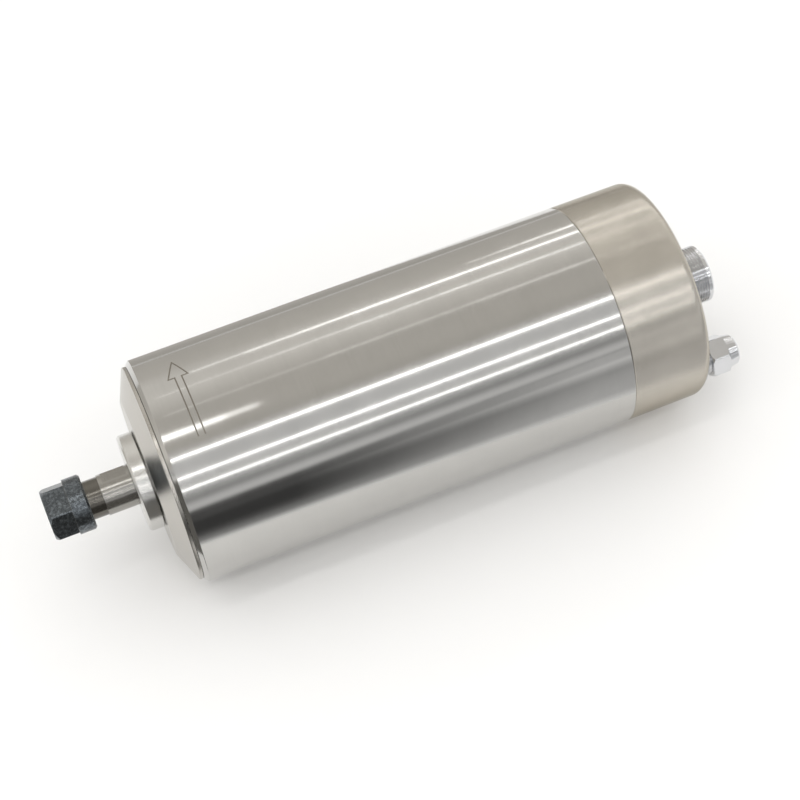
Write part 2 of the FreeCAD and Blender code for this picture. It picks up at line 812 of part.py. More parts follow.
def make_rear_cover():
    """Cup that closes the rear end: spigot, wire space, screw recesses and tapped water ports."""
    body = turned("rear_cover", [
        (d.housing_end, cover_cavity),
        (cover_inner_face, cover_cavity),
        (cover_inner_face, d.shell_stem_radius + d.seat_gap),
        (d.cover_end, d.shell_stem_radius + d.seat_gap),
        (d.cover_end, d.tube_radius),
        (d.tube_length + d.seam_chamfer, d.tube_radius),
        (d.tube_length, d.tube_radius - d.seam_chamfer),
        (d.tube_length, bell_radius),
        (d.housing_end, bell_radius),
    ])
    edge = rim_edge(body, d.cover_end, d.tube_radius)
    cup = body.Tip
    rim = body.newObject("PartDesign::Fillet", "cover_rim")
    rim.Base = (cup, [edge])
    rim.Radius = d.cover_fillet.value
    rim.setExpression("Radius", d.cover_fillet.formula)
    cut_and_check(body, rim)
    screws = holes_around(cover_screw_circle, d.cover_screw_count)
    drill(body, "screw_holes", d.housing_end, screws, d.cover_screw_radius + d.seat_gap)
    drill(body, "screw_recesses", d.cover_end, screws, d.cover_screw_head_radius + d.turning_gap,
          d.cover_screw_recess, forward=False)
    drill(body, "water_holes", d.housing_end, port_places(port_circle), d.port_hole_radius)
    drill(body, "port_threads", d.cover_end, port_places(port_circle), d.port_thread_radius,
          d.port_thread_length + d.turning_gap, forward=False)


def rim_edge(body, x, radius):
    """The name of the circular edge at x with this radius."""
    for number, edge in enumerate(body.Shape.Edges, start=1):
        box = edge.BoundBox
        if abs(box.XMin - x.value) < 1e-6 and box.XLength < 1e-6 and abs(box.YLength / 2 - radius.value) < 1e-6:
            return f"Edge{number}"
    raise RuntimeError(f"{body.Label}: no edge at {x.value}")


def make_cover_screws():
    seat = d.cover_end - d.cover_screw_recess
    start = d.housing_end - d.cover_screw_bite
    screws = [
        screw(start, seat, y, z, d.cover_screw_radius, d.cover_screw_head_radius, d.cover_screw_head, d.cover_screw_key)
        for y, z in holes_around(cover_screw_circle, d.cover_screw_count)
    ]
    add_shape("cover_screws", Part.makeCompound(screws))


def make_stator():
    """Slotted lamination stack and the copper winding that fills its slots."""
    body = ring("stator_core", d.stator_start, d.stator_end, d.stator_bore_radius, stator_radius)
    sketch = new_sketch(body, "stator_slot_outline", "YZ_Plane", offset=d.stator_start)
    mouth = d.slot_mouth_width / 2
    wide = d.slot_width / 2
    inside = d.stator_bore_radius - OVERRUN
    draw_outline(sketch, [
        (-mouth, inside), (mouth, inside), (mouth, d.slot_mouth_radius), (wide, d.slot_mouth_radius),
        (wide, slot_outer), (-wide, slot_outer), (-wide, d.slot_mouth_radius),
        (-mouth, d.slot_mouth_radius),
    ])
    slot = pocket(body, "stator_slot", sketch)
    repeat(body, "stator_slots", slot, d.slot_count, FULL_TURN)

    front = d.stator_start - d.end_turn_length
    rear = d.stator_end + d.end_turn_length
    inner = d.end_turn_inner_radius
    outer = stator_radius - d.end_turn_inset
    crown = d.end_turn_crown
    coil = turned("stator_winding", [
        (front, inner + crown), (front + crown, inner), (d.stator_start - d.turning_gap, inner),
        (d.stator_start - d.turning_gap, outer), (front + crown, outer), (front, outer - crown),
    ])
    sketch = new_sketch(coil, "slot_bar_outline", "YZ_Plane", offset=front + crown)
    low = d.slot_mouth_radius + d.slot_liner
    high = slot_outer - d.slot_liner
    half = wide - d.slot_liner
    draw_outline(sketch, [(-half, low), (half, low), (half, high), (-half, high)])
    bar = pad(coil, "slot_bar", sketch, rear - front - crown * 2)
    repeat(coil, "slot_bars", bar, d.slot_count, FULL_TURN)
    sketch = new_sketch(coil, "rear_end_turn_outline", "XZ_Plane")
    draw_outline(sketch, [
        (rear, inner + crown), (rear - crown, inner), (d.stator_end + d.turning_gap, inner),
        (d.stator_end + d.turning_gap, outer), (rear - crown, outer), (rear, outer - crown),
    ])
    turn = coil.newObject("PartDesign::Revolution", "rear_end_turn")
    turn.Profile = sketch
    turn.ReferenceAxis = (sketch, ["H_Axis"])
    turn.Angle = FULL_TURN
    doc.recompute()


def make_rotor():
    """Slotted rotor core with a cast cage of bars and two end rings."""
    body = ring("rotor_core", d.rotor_start, d.rotor_end, d.rotor_seat_radius + d.press_gap, rotor_radius)
    half = d.rotor_bar_width / 2
    floor = rotor_radius - d.rotor_bar_depth
    sketch = new_sketch(body, "rotor_slot_outline", "YZ_Plane", offset=d.rotor_start)
    top = rotor_radius + OVERRUN
    draw_outline(sketch, [(-half, floor), (half, floor), (half, top), (-half, top)])
    slot = pocket(body, "rotor_slot", sketch)
    repeat(body, "rotor_slots", slot, d.rotor_bar_count, FULL_TURN)

    outer = rotor_radius - d.seat_gap
    front = d.rotor_start - d.end_ring_length
    cage = ring("rotor_cage", front, d.rotor_start, d.end_ring_inner_radius, outer)
    sketch = new_sketch(cage, "rotor_bar_outline", "YZ_Plane", offset=front)
    low = floor + d.seat_gap
    side = half - d.seat_gap
    high = outer - d.seat_gap
    draw_outline(sketch, [(-side, low), (side, low), (side, high), (-side, high)])
    bar = pad(cage, "rotor_bar", sketch, d.rotor_end + d.end_ring_length - front)
    repeat(cage, "rotor_bars", bar, d.rotor_bar_count, FULL_TURN)
    sketch = new_sketch(cage, "rear_end_ring_outline", "XZ_Plane")
    rear = d.rotor_end + d.end_ring_length
    draw_outline(sketch, [
        (d.rotor_end, d.end_ring_inner_radius), (rear, d.end_ring_inner_radius), (rear, outer), (d.rotor_end, outer),
    ])
    turn = cage.newObject("PartDesign::Revolution", "rear_end_ring")
    turn.Profile = sketch
    turn.ReferenceAxis = (sketch, ["H_Axis"])
    turn.Angle = FULL_TURN
    doc.recompute()


def make_shaft():
    """Spindle shaft: collet taper with its relief, nose thread, wrench flats, bearing and rotor seats."""
    front = -d.shaft_front_offset
    slope = trig("tan", d.collet_taper_angle)
    mouth = d.collet_radius + d.seat_gap + slope * (collet_taper_start - front)
    collet_end = -d.collet_face_offset + d.collet_length
    relief_start = collet_end - d.taper_relief_lap
    relief_end = collet_end + d.taper_relief_run
    taper_end = mouth - slope * (relief_start - front)
    nut_thread_end = front_stack_end + d.nut_thread_length
    collar_front = -d.cap_front_offset + d.cap_web
    groove_end = rear_bearing_end + d.circlip_thickness + d.seat_gap
    body = turned("spindle_shaft", [
        (front, mouth),
        (relief_start, taper_end),
        (relief_start, taper_end + d.taper_relief_depth),
        (relief_end, taper_end + d.taper_relief_depth),
        (relief_end, d.tool_hole_radius),
        (front + d.tool_hole_depth, d.tool_hole_radius),
        (front + d.tool_hole_depth, 0),
        (d.shaft_end, 0),
        (d.shaft_end, d.rear_bore_radius - d.shaft_chamfer),
        (d.shaft_end - d.shaft_chamfer, d.rear_bore_radius),
        (groove_end, d.rear_bore_radius),
        (groove_end, d.circlip_groove_radius),
        (rear_bearing_end - d.seat_gap, d.circlip_groove_radius),
        (rear_bearing_end - d.seat_gap, d.rear_bore_radius),
        (d.rotor_seat_end, d.rear_bore_radius),
        (d.rotor_seat_end, d.rotor_seat_radius),
        (nut_thread_end, d.rotor_seat_radius),
        (nut_thread_end, d.front_bore_radius),
        (front_stack_start, d.front_bore_radius),
        (front_stack_start, d.collar_radius),
        (collar_front, d.collar_radius),
        (collar_front, d.nose_radius),
        (-d.nose_neck_end_offset, d.nose_radius),
        (-d.nose_neck_end_offset, d.nose_neck_radius),
        (-d.nose_thread_end_offset, d.nose_neck_radius),
        (-d.nose_thread_end_offset, d.nose_thread_radius),
        (front + d.shaft_chamfer, d.nose_thread_radius),
        (front, d.nose_thread_radius - d.shaft_chamfer),
    ])
    sketch = new_sketch(body, "wrench_flat_outline", "YZ_Plane", angle=plane_turn(d.wrench_flat_angle),
                        offset=-d.wrench_flat_start_offset)
    low = d.wrench_flat_width / 2
    wide = d.nose_radius + OVERRUN
    draw_outline(sketch, [(-wide, low), (wide, low), (wide, wide), (-wide, wide)])
    flat = pocket(body, "wrench_flat", sketch, d.wrench_flat_start_offset - d.wrench_flat_end_offset)
    repeat(body, "wrench_flats", flat, d.wrench_flat_count, FULL_TURN)


def make_dust_cap():
    """Cap pressed over the shaft's collar. Its boss turns inside the bell's lip."""
    front = -d.cap_front_offset
    rear = -d.cap_rear_offset
    turned("dust_cap", [
        (front, d.nose_radius + d.press_gap),
        (front + d.cap_web, d.nose_radius + d.press_gap),
        (front + d.cap_web, d.collar_radius + d.press_gap),
        (rear + d.cap_boss_length, d.collar_radius + d.press_gap),
        (rear + d.cap_boss_length, d.cap_boss_radius),
        (rear, d.cap_boss_radius),
        (rear, d.cap_radius),
        (front + d.cap_chamfer, d.cap_radius),
        (front, d.cap_radius - d.cap_chamfer),
    ])


def make_collet():
    """Spring collet with an 8 degree taper, a pull groove and slits from both ends."""
    face = -d.collet_face_offset
    nose_end = face + d.collet_nose_length
    groove_end = nose_end + d.collet_groove_width
    end = face + d.collet_length
    tail = d.collet_radius - trig("tan", d.collet_taper_angle) * (end - collet_taper_start)
    body = turned("spring_collet", [
        (face, d.collet_bore_radius),
        (end, d.collet_bore_radius),
        (end, tail),
        (collet_taper_start, d.collet_radius),
        (groove_end, d.collet_radius),
        (groove_end, d.collet_groove_radius),
        (nose_end, d.collet_groove_radius),
        (nose_end, d.collet_radius),
        (face, d.collet_nose_radius),
    ])
    half = d.collet_slit / 2
    low = d.collet_slit_floor
    top = d.collet_radius + OVERRUN
    step = FULL_TURN / d.collet_slit_count
    for name, start, forward, angle in (("front_slit", face, True, d.collet_slit_turn),
                                       ("rear_slit", end, False, d.collet_slit_turn + step / 2)):
        sketch = new_sketch(body, f"{name}_outline", "YZ_Plane", angle=angle, offset=start)
        draw_outline(sketch, [(-half, low), (half, low), (half, top), (-half, top)])
        slit = pocket(body, name, sketch, d.collet_length - d.collet_slit_web, forward)
        repeat(body, f"{name}s", slit, d.collet_slit_count, FULL_TURN)


def make_collet_nut():
    """Nut with a hexagon in front and a round collar behind. Its lip pulls the collet out."""
    front = -d.nut_front_offset
    shoulder = -d.nut_collar_end_offset
    rear = -d.nut_rear_offset
    face = -d.collet_face_offset
    nose_end = face + d.collet_nose_length
    groove_end = nose_end + d.collet_groove_width
    body = new_body("collet_nut")
    sketch = new_sketch(body, "nut_hexagon", "YZ_Plane", angle=-d.nut_corner_angle, offset=front)
    draw_outline(sketch, hexagon(d.nut_flats))
    pad(body, "nut_hexagon_bar", sketch, shoulder - front)
    sketch = new_sketch(body, "nut_collar_outline", "XZ_Plane")
    draw_outline(sketch, [
        (shoulder, 0), (rear, 0), (rear, d.nut_collar_radius - d.nut_collar_chamfer),
        (rear - d.nut_collar_chamfer, d.nut_collar_radius), (shoulder, d.nut_collar_radius),
    ])
    collar = body.newObject("PartDesign::Revolution", "nut_collar")
    collar.Profile = sketch
    collar.ReferenceAxis = (sketch, ["H_Axis"])
    collar.Angle = FULL_TURN
    doc.recompute()
    far = d.nut_collar_radius + d.nut_nose_chamfer
    turn_away(body, "nut_nose", [
        (front, d.nut_nose_radius), (front + far - d.nut_nose_radius, far), (front, far),
    ])
    slope = (d.collet_radius - d.collet_nose_radius) / d.collet_nose_length
    gap = d.collet_lip_gap
    turn_away(body, "nut_bore", [
        (front, 0),
        (rear, 0),
        (rear, d.nose_thread_radius + d.seat_gap),
        (groove_end - gap, d.nose_thread_radius + d.seat_gap),
        (groove_end - gap, d.nut_lip_radius),
        (nose_end + gap, d.nut_lip_radius),
        (nose_end + gap, d.collet_radius + slope * gap + d.seat_gap),
        (front, d.collet_nose_radius + d.seat_gap - slope * (face - front)),
    ])


def make_connector():
    """Threaded connector shell with its inner nut, insulating insert and pins."""
    stem_start = d.cover_end - d.shell_stem_length
    floor = shell_end - d.shell_mouth_depth
    turned("connector_shell", [
        (stem_start, d.shell_stem_bore_radius),
        (floor, d.shell_stem_bore_radius),
        (floor, d.shell_mouth_radius),
        (shell_end, d.shell_mouth_radius),
        (shell_end, d.shell_radius - d.shell_lip_chamfer),
        (shell_end - d.shell_lip_chamfer, d.shell_radius),
        (d.cover_end + d.shell_flange, d.shell_radius),
        (d.cover_end + d.shell_flange, d.shell_flange_radius),
        (d.cover_end, d.shell_flange_radius),
        (d.cover_end, d.shell_stem_radius),
        (stem_start, d.shell_stem_radius),
    ])
    nut = new_body("connector_lock_nut")
    sketch = new_sketch(nut, "connector_nut_hexagon", "YZ_Plane", offset=cover_inner_face - d.shell_nut_length)
    draw_outline(sketch, hexagon(d.shell_nut_flats))
    draw_circle(sketch, 0, 0, d.shell_stem_radius + d.seat_gap)
    pad(nut, "connector_nut_bar", sketch, d.shell_nut_length)

    tail = stem_start - d.insert_tail
    insert = turned("connector_insert", [
        (tail, 0),
        (insert_face, 0),
        (insert_face, d.shell_mouth_radius - d.seat_gap),
        (floor + d.seat_gap, d.shell_mouth_radius - d.seat_gap),
        (floor + d.seat_gap, d.shell_stem_bore_radius - d.seat_gap),
        (tail, d.shell_stem_bore_radius - d.seat_gap),
    ])
    places = holes_around(d.pin_circle, d.pin_count, d.wire_hole_angle)
    drill(insert, "pin_holes", tail, places, d.pin_radius + d.press_gap)
    pins = []
    for y, z in places:
        start = FreeCAD.Vector((tail - d.pin_tail_length).value, y.value, z.value)
        length = shell_end - d.pin_tip_recess - tail + d.pin_tail_length
        pin = Part.makeCylinder(d.pin_radius.value, length.value, start, AXIS_X)
        tip = [edge for edge in pin.Edges if abs(edge.BoundBox.XMin - start.x - length.value) < 1e-6]
        pins.append(pin.makeChamfer(d.pin_chamfer.value, tip))
    add_shape("connector_pins", Part.makeCompound(pins))


def place_on_port(body, angle):
    """Moves a fitting's piece from its own axis to a water port's mouth on the rear face."""
    y, z = around(port_circle, angle)
    body.setExpression("Placement.Base.x", d.cover_end.formula)
    body.setExpression("Placement.Base.y", y.formula)
    body.setExpression("Placement.Base.z", z.formula)
    doc.recompute()


def make_fitting(side, angle):
    """Compression fitting for one hose: threaded nipple, olive and union nut."""
    end = d.nipple_length
    socket = d.tube_socket_radius
    cone = d.nipple_cone_depth
    stem = d.port_thread_radius - d.seat_gap
    nipple = turned(f"{side}_nipple", [
        (-d.port_thread_length, d.port_hole_radius),
        (end - d.nipple_socket_depth, d.port_hole_radius),
        (end - d.nipple_socket_depth, socket),
        (end - cone, socket),
        (end, socket + cone),
        (end, d.nipple_thread_radius),
        (0, d.nipple_thread_radius),
        (0, stem),
        (-d.port_thread_length, stem),
    ])
    sketch = new_sketch(nipple, f"{side}_nipple_hexagon", "YZ_Plane", angle=-d.union_nut_corner_angle)
    draw_outline(sketch, hexagon(d.nipple_hex_flats))
    draw_circle(sketch, 0, 0, d.nipple_thread_radius - d.seat_gap)
    pad(nipple, f"{side}_nipple_flats", sketch, d.nipple_hex_length)
    place_on_port(nipple, angle)

    gap = d.olive_gap
    olive_top = socket + cone - gap
    middle_end = end + d.olive_middle
    olive_end = middle_end + cone - gap * 2
    olive = turned(f"{side}_olive", [
        (end - cone + gap * 2, socket),
        (olive_end, socket),
        (olive_end, socket + gap),
        (middle_end, olive_top),
        (end, olive_top),
        (end - cone + gap * 2, socket + gap),
    ])
    place_on_port(olive, angle)

    start = d.union_nut_start
    shoulder = start + d.union_nut_hex_length
    nose = shoulder + d.union_nut_nose_length
    nut = new_body(f"{side}_union_nut")
    sketch = new_sketch(nut, f"{side}_nut_hexagon", "YZ_Plane", angle=-d.union_nut_corner_angle, offset=start)
    draw_outline(sketch, hexagon(d.union_nut_flats))
    pad(nut, f"{side}_nut_bar", sketch, d.union_nut_hex_length)
    corner = d.union_nut_flats / (2 * COSINE_30)
    far = corner + OVERRUN
    turn_away(nut, f"{side}_nut_taper", [
        (shoulder, d.union_nut_shoulder_radius),
        (shoulder, far),
        (shoulder - d.union_nut_taper_length, far),
        (shoulder - d.union_nut_taper_length, corner),
    ])
    chamfer = d.union_nut_chamfer
    turn_away(nut, f"{side}_nut_rear_chamfer", [
        (start, corner - chamfer), (start, far), (start + chamfer, far), (start + chamfer, corner),
    ])
    sketch = new_sketch(nut, f"{side}_nut_nose_outline", "XZ_Plane")
    draw_outline(sketch, [
        (shoulder, 0), (nose, 0), (nose, d.union_nut_nose_radius - chamfer),
        (nose - chamfer, d.union_nut_nose_radius), (shoulder, d.union_nut_nose_base_radius),
    ])
    turn = nut.newObject("PartDesign::Revolution", f"{side}_nut_nose")
    turn.Profile = sketch
    turn.ReferenceAxis = (sketch, ["H_Axis"])
    turn.Angle = FULL_TURN
    doc.recompute()
    thread = d.nipple_thread_radius + d.seat_gap
    thread_end = middle_end + gap / 2
    turn_away(nut, f"{side}_nut_bore", [
        (start, 0),
        (nose, 0),
        (nose, socket),
        (thread_end + cone, socket),
        (thread_end, socket + cone),
        (thread_end, thread),
        (start, thread),
    ])
    place_on_port(nut, angle)


def make_phase_leads():
    """Leads from the winding through the rear housing to the connector's pins."""
    pin_tail = d.cover_end - d.shell_stem_length - d.insert_tail - d.pin_tail_length
    start_x = d.stator_end + d.end_turn_length
    centre_y, centre_z = around(wire_hole_circle, d.wire_hole_angle)
    leads = []
    for number in range(int(d.lead_count.value)):
        spread_y, spread_z = around(d.lead_circle, d.wire_hole_angle + (number - 1) * FULL_TURN / d.lead_count)
        pin_y, pin_z = around(d.pin_circle, d.wire_hole_angle + (number - 1) * d.lead_pin_step)
        y, z = centre_y + spread_y, centre_z + spread_z
        corners = [
            (start_x, y, z),
            (start_x + d.lead_straight, y, z),
            (pin_tail - d.lead_end_run, pin_y, pin_z),
            (pin_tail, pin_y, pin_z),
        ]
        points = [FreeCAD.Vector(*(Size.of(size).value for size in corner)) for corner in corners]
        leads.append(rounded_tube(points, d.lead_radius.value, d.lead_bend_radius.value))
    add_shape("phase_leads", Part.makeCompound(leads))


def rounded_tube(points, radius, bend):
    """A round wire along straight runs joined by arcs that meet them smoothly."""
    edges = []
    here = points[0]
    for before, corner, after in zip(points, points[1:], points[2:]):
        back = (before - corner).normalize()
        ahead = (after - corner).normalize()
        half = (math.pi - back.getAngle(ahead)) / 2
        reach = bend * math.tan(half)
        arc_start = corner + back * reach
        arc_end = corner + ahead * reach
        inward = (back + ahead).normalize()
        arc_middle = corner + inward * (bend / math.cos(half) - bend)
        edges.append(Part.LineSegment(here, arc_start).toShape())
        edges.append(Part.Arc(arc_start, arc_middle, arc_end).toShape())
        here = arc_end
    edges.append(Part.LineSegment(here, points[-1]).toShape())
    section = Part.Wire([Part.makeCircle(radius, points[0], points[1] - points[0])])
    return Part.Wire(edges).makePipeShell([section], True, False)


def make_bearings():
    for number in (1, 2):
        start = front_stack_start + (number - 1) * d.front_bearing_width
        make_bearing(f"front_bearing_{number}", start, d.front_bore_radius, d.front_outer_radius,
                     d.front_bearing_width, d.front_ball_circle, d.front_ball_count)
    make_bearing("rear_bearing", d.rear_bearing_start, d.rear_bore_radius, d.rear_outer_radius,
                 d.rear_bearing_width, d.rear_ball_circle, d.rear_ball_count)


def make_all():
    make_body_tube()
    make_front_bell()
    make_retainer()
    make_bearings()
    make_water_jacket()
    make_seals()
    make_stator()
    make_rotor()
    make_shaft()
    make_dust_cap()
    make_lock_nut()
    make_collet()
    make_collet_nut()
    make_distance_sleeve()
    make_circlip()
    make_disc_spring()
    make_rear_bearing_housing()
    make_rear_cover()
    make_cover_screws()
    make_port_seals()
    make_connector()
    for side, angle in zip(("inlet", "outlet"), port_angles()):
        make_fitting(side, angle)
    make_phase_leads()


def write_steps():
    """Checks every object, then writes one STEP file for each piece."""
    doc.recompute()
    for thing in doc.Objects:
        faults = [word for word in thing.State if word in ("Invalid", "Error")]
        if faults:
            raise RuntimeError(f"{thing.Label}: {faults}")
    for label, piece in bodies.items():
        if piece.Shape.isNull() or not piece.Shape.isValid() or not piece.Shape.Solids:
            raise RuntimeError(f"{label}: its shape is empty or not valid")
    os.makedirs("parts", exist_ok=True)
    for label, piece in bodies.items():
        piece.Shape.exportStep(f"parts/{label}.step")
        print(label, len(piece.Shape.Solids), "solids", round(piece.Shape.Volume, 1), "mm3")


make_all()
write_steps()
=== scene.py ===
"""The looks of a water-cooled motor spindle: its visible pieces, their finishes and a small studio."""
import json
import math

import bmesh
import bpy
from bpy.props import FloatProperty, FloatVectorProperty, PointerProperty
from mathutils import Matrix, Vector


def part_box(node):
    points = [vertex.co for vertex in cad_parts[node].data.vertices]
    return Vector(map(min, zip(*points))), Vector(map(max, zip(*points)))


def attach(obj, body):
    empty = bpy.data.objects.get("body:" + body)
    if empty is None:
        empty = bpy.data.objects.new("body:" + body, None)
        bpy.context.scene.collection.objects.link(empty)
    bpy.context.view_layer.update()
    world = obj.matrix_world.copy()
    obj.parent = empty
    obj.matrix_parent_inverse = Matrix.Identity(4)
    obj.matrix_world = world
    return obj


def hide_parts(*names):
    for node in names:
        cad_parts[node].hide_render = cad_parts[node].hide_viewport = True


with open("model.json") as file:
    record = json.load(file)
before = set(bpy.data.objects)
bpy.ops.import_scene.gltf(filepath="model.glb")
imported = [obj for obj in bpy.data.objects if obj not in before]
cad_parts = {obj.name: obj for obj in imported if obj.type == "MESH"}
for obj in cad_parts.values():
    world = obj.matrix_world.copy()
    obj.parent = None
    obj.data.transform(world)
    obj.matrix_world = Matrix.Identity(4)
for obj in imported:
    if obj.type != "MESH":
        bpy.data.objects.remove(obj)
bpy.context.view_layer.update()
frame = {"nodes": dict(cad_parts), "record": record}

bl_info = {
    "name": "Motor Spindle",
    "version": (1, 0, 0),
    "blender": (4, 5, 0),
    "location": "3D View > Sidebar > Spindle",
    "description": "Builds the pieces and finishes of a water-cooled motor spindle",
    "category": "Add Mesh",
}

MM = 0.001
# Corners round a turned piece
ROUND_STEPS = 360
# The x at which the shaft's neck meets its ground part, in millimetres
NECK_END = -23.5
# What cutting oil leaves of a metal's brightness
OIL_FILM = "#AFADA9"


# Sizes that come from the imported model

def near(node):
    """The lowest x of a CAD node, in millimetres like all sizes below."""
    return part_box(node)[0].x / MM


def far(node):
    """The highest x of a CAD node."""
    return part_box(node)[1].x / MM


def reach(node):
    """Half the width of a CAD node, which is the radius of a round one."""
    low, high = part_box(node)
    return (high.y - low.y) / 2 / MM


def centre(node):
    """The y and z of the middle of a CAD node."""
    low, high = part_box(node)
    return (low.y + high.y) / 2 / MM, (low.z + high.z) / 2 / MM


def linear(code):
    """A hex colour as red, green and blue in linear light."""
    parts = [int(code[place:place + 2], 16) / 255 for place in (1, 3, 5)]
    return tuple(part / 12.92 if part <= 0.04045 else ((part + 0.055) / 1.055) ** 2.4 for part in parts)


def colour(name, description, code):
    """A colour that a user can change."""
    return FloatVectorProperty(name=name, description=description, default=linear(code),
                               subtype="COLOR", size=3, min=0.0, max=1.0)


def length(name, description, value):
    """A size that a user can change, with its default in millimetres."""
    return FloatProperty(name=name, description=description, default=value * MM,
                         subtype="DISTANCE", unit="LENGTH", min=0.0, precision=5)


class SpindleSizes(bpy.types.PropertyGroup):
    """Sizes of the fine detail that stands on the solids."""

    edge_break: length("Edge break", "Width of the small break on every turned edge", 0.22)
    nut_edge_break: length("Nut edge break", "Width of the break on the nuts' edges", 0.3)
    connector_pitch: length("Connector pitch", "Distance between the connector's threads", 1.0)
    connector_depth: length("Connector thread depth", "Depth of the connector's thread", 0.55)
    nose_pitch: length("Nose pitch", "Distance between the threads on the shaft's nose", 0.75)
    fitting_pitch: length("Fitting pitch", "Distance between the threads of the hose fittings", 1.0)
    arrow_line: length("Arrow line", "Width of the line of the direction arrow", 0.5)
    arrow_length: length("Arrow length", "Length of the direction arrow along the curved wall", 32.0)


class SpindleColours(bpy.types.PropertyGroup):
    """Base colours of the finishes."""

    body: colour("Body", "Polished stainless steel", "#C5C4C1")
    bell: colour("Bell", "Fine turned steel", "#BDBAB4")
    cap: colour("Cap", "Bright turned steel", "#D6D5D2")
    shaft: colour("Shaft", "Ground steel", "#A3A19C")
    black: colour("Black oxide", "Blackened steel", "#656A6E")
    cover: colour("Cover", "Blasted and clear anodised aluminium", "#C3BEB5")
    nickel: colour("Nickel", "Nickel plated brass", "#D9DADC")
    mark: colour("Mark", "Line that a laser has darkened in the steel", "#8A857D")


class SpindleSettings(bpy.types.PropertyGroup):
    """Everything that the panel offers."""

    sizes: PointerProperty(type=SpindleSizes, name="Sizes", description="Sizes of the fine detail")
    colours: PointerProperty(type=SpindleColours, name="Colours", description="Base colours of the finishes")


# Meshes

def add_object(name, data):
    """A new object in the scene for a mesh, light or camera."""
    item = bpy.data.objects.new(name, data)
    bpy.context.scene.collection.objects.link(item)
    return item


def object_from(name, form):
    """The object that a finished form makes, with its faces turned outwards."""
    bmesh.ops.recalc_face_normals(form, faces=form.faces)
    mesh = bpy.data.meshes.new(name)
    form.to_mesh(mesh)
    form.free()
    return add_object(name, mesh)


def spun(name, profile_at, steps=ROUND_STEPS, first_angle=0.0, middle=(0.0, 0.0)):
    """A closed form round X.

    The profile gives the (x, radius) corners at an angle in degrees from -Y towards +Z, in millimetres,
    and has the same number of corners at every angle.
    """
    form = bmesh.new()
    rows = []
    for step in range(steps):
        angle = first_angle + 360.0 * step / steps
        turn = math.radians(angle)
        y, z = -math.cos(turn), math.sin(turn)
        rows.append([
            form.verts.new((x * MM, (middle[0] + radius * y) * MM, (middle[1] + radius * z) * MM))
            for x, radius in profile_at(angle)
        ])
    count = len(rows[0])
    for step in range(steps):
        here, there = rows[step], rows[(step + 1) % steps]
        for corner in range(count):
            after = (corner + 1) % count
            form.faces.new((here[corner], here[after], there[after], there[corner]))
    bmesh.ops.remove_doubles(form, verts=form.verts, dist=1e-7)
    bmesh.ops.dissolve_degenerate(form, edges=form.edges, dist=1e-8)
    return object_from(name, form)


def lathe(name, profile, **options):
    """A closed form round X with the same corners all the way round."""
    return spun(name, lambda angle: profile, **options)


def ease(piece, width, crease=18.0):
    """Smooth faces between marked edges, with a small break on every edge of 40 degrees or more."""
    mesh = piece.data
    mesh.shade_smooth()
    mesh.set_sharp_from_angle(angle=math.radians(crease))
    if width > 0:
        bevel = piece.modifiers.new("Edge break", "BEVEL")
        bevel.width = width
        bevel.segments = 2
        bevel.limit_method = "ANGLE"
        bevel.angle_limit = math.radians(40)
        bevel.harden_normals = True
        bevel.use_clamp_overlap = True


def dress(piece, body, slot, *nodes, finish=None):
    """Gives a piece its body and a finish, that of its slot unless another is given, and hides the CAD nodes
    that it stands for.
    """
    piece.data.materials.append(FINISHES[finish or slot])
    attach(piece, body)
    if nodes:
        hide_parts(*nodes)


def arc(x, radius, size, start, end, steps=12):
    """Points on an arc in the (x, radius) plane, with angles in degrees from +X towards outside."""
    points = []
    for step in range(steps + 1):
        turn = math.radians(start + (end - start) * step / steps)
        points.append((x + size * math.cos(turn), radius + size * math.sin(turn)))
    return points


def hexagon_radius(flats, angle, corner_angle, corner_land=0.1):
    """The distance from the axis to a hexagon's side at an angle, less a little at each corner."""
    off_flat = (angle - corner_angle) % 60.0 - 30.0
    side = flats / 2 / math.cos(math.radians(off_flat))
    return min(side, flats / math.sqrt(3) - corner_land)


def thread_line(start, end, radius, pitch, depth, angle, run_in=1.0, run_out=1.0, per_turn=20):
    """Points along a screw thread at one angle, with the depth growing and fading over the run-ins."""
    points = []
    count = int((end - start) / pitch * per_turn)
    for number in range(count + 1):
        x = start + (end - start) * number / count
        grown = min(1.0, (x - start) / run_in, (end - x) / run_out)
        wave = 0.5 - 0.5 * math.cos(2 * math.pi * (x / pitch - angle / 360.0))
        points.append((x, radius - depth * wave * max(0.0, grown)))
    return points


def cut_out(piece, cutters):
    """Takes the cutters' forms away from a piece and leaves the result as its own mesh."""
    for cutter in cutters:
        cut = piece.modifiers.new("Cut", "BOOLEAN")
        cut.operation = "DIFFERENCE"
        cut.solver = "EXACT"
        cut.object = cutter
    view = bpy.context.evaluated_depsgraph_get()
    mesh = bpy.data.meshes.new_from_object(piece.evaluated_get(view))
    piece.modifiers.clear()
    piece.data = mesh
    for cutter in cutters:
        bpy.data.objects.remove(cutter, do_unlink=True)


# Finishes

def add_node(tree, kind, settings=None, links=None):
    """Adds a node. Settings go to its properties or inputs, and links to its inputs."""
    node = tree.nodes.new(kind)
    for name, value in (settings or {}).items():
        if isinstance(name, int) or name in node.inputs:
            node.inputs[name].default_value = value
        else:
            setattr(node, name, value)
    for name, source in (links or {}).items():
        tree.links.new(source, node.inputs[name])
    return node


def empty_material(name):
    material = bpy.data.materials.new(name)
    material.use_nodes = True
    material.node_tree.nodes.clear()
    return material, material.node_tree


def new_finish(name, settings):
    """A material with its tree and its surface shader, still without a pattern."""
    material, tree = empty_material(name)
    surface = add_node(tree, "ShaderNodeBsdfPrincipled", settings)
    add_node(tree, "ShaderNodeOutputMaterial", links={"Surface": surface.outputs["BSDF"]})
    return material, tree, surface


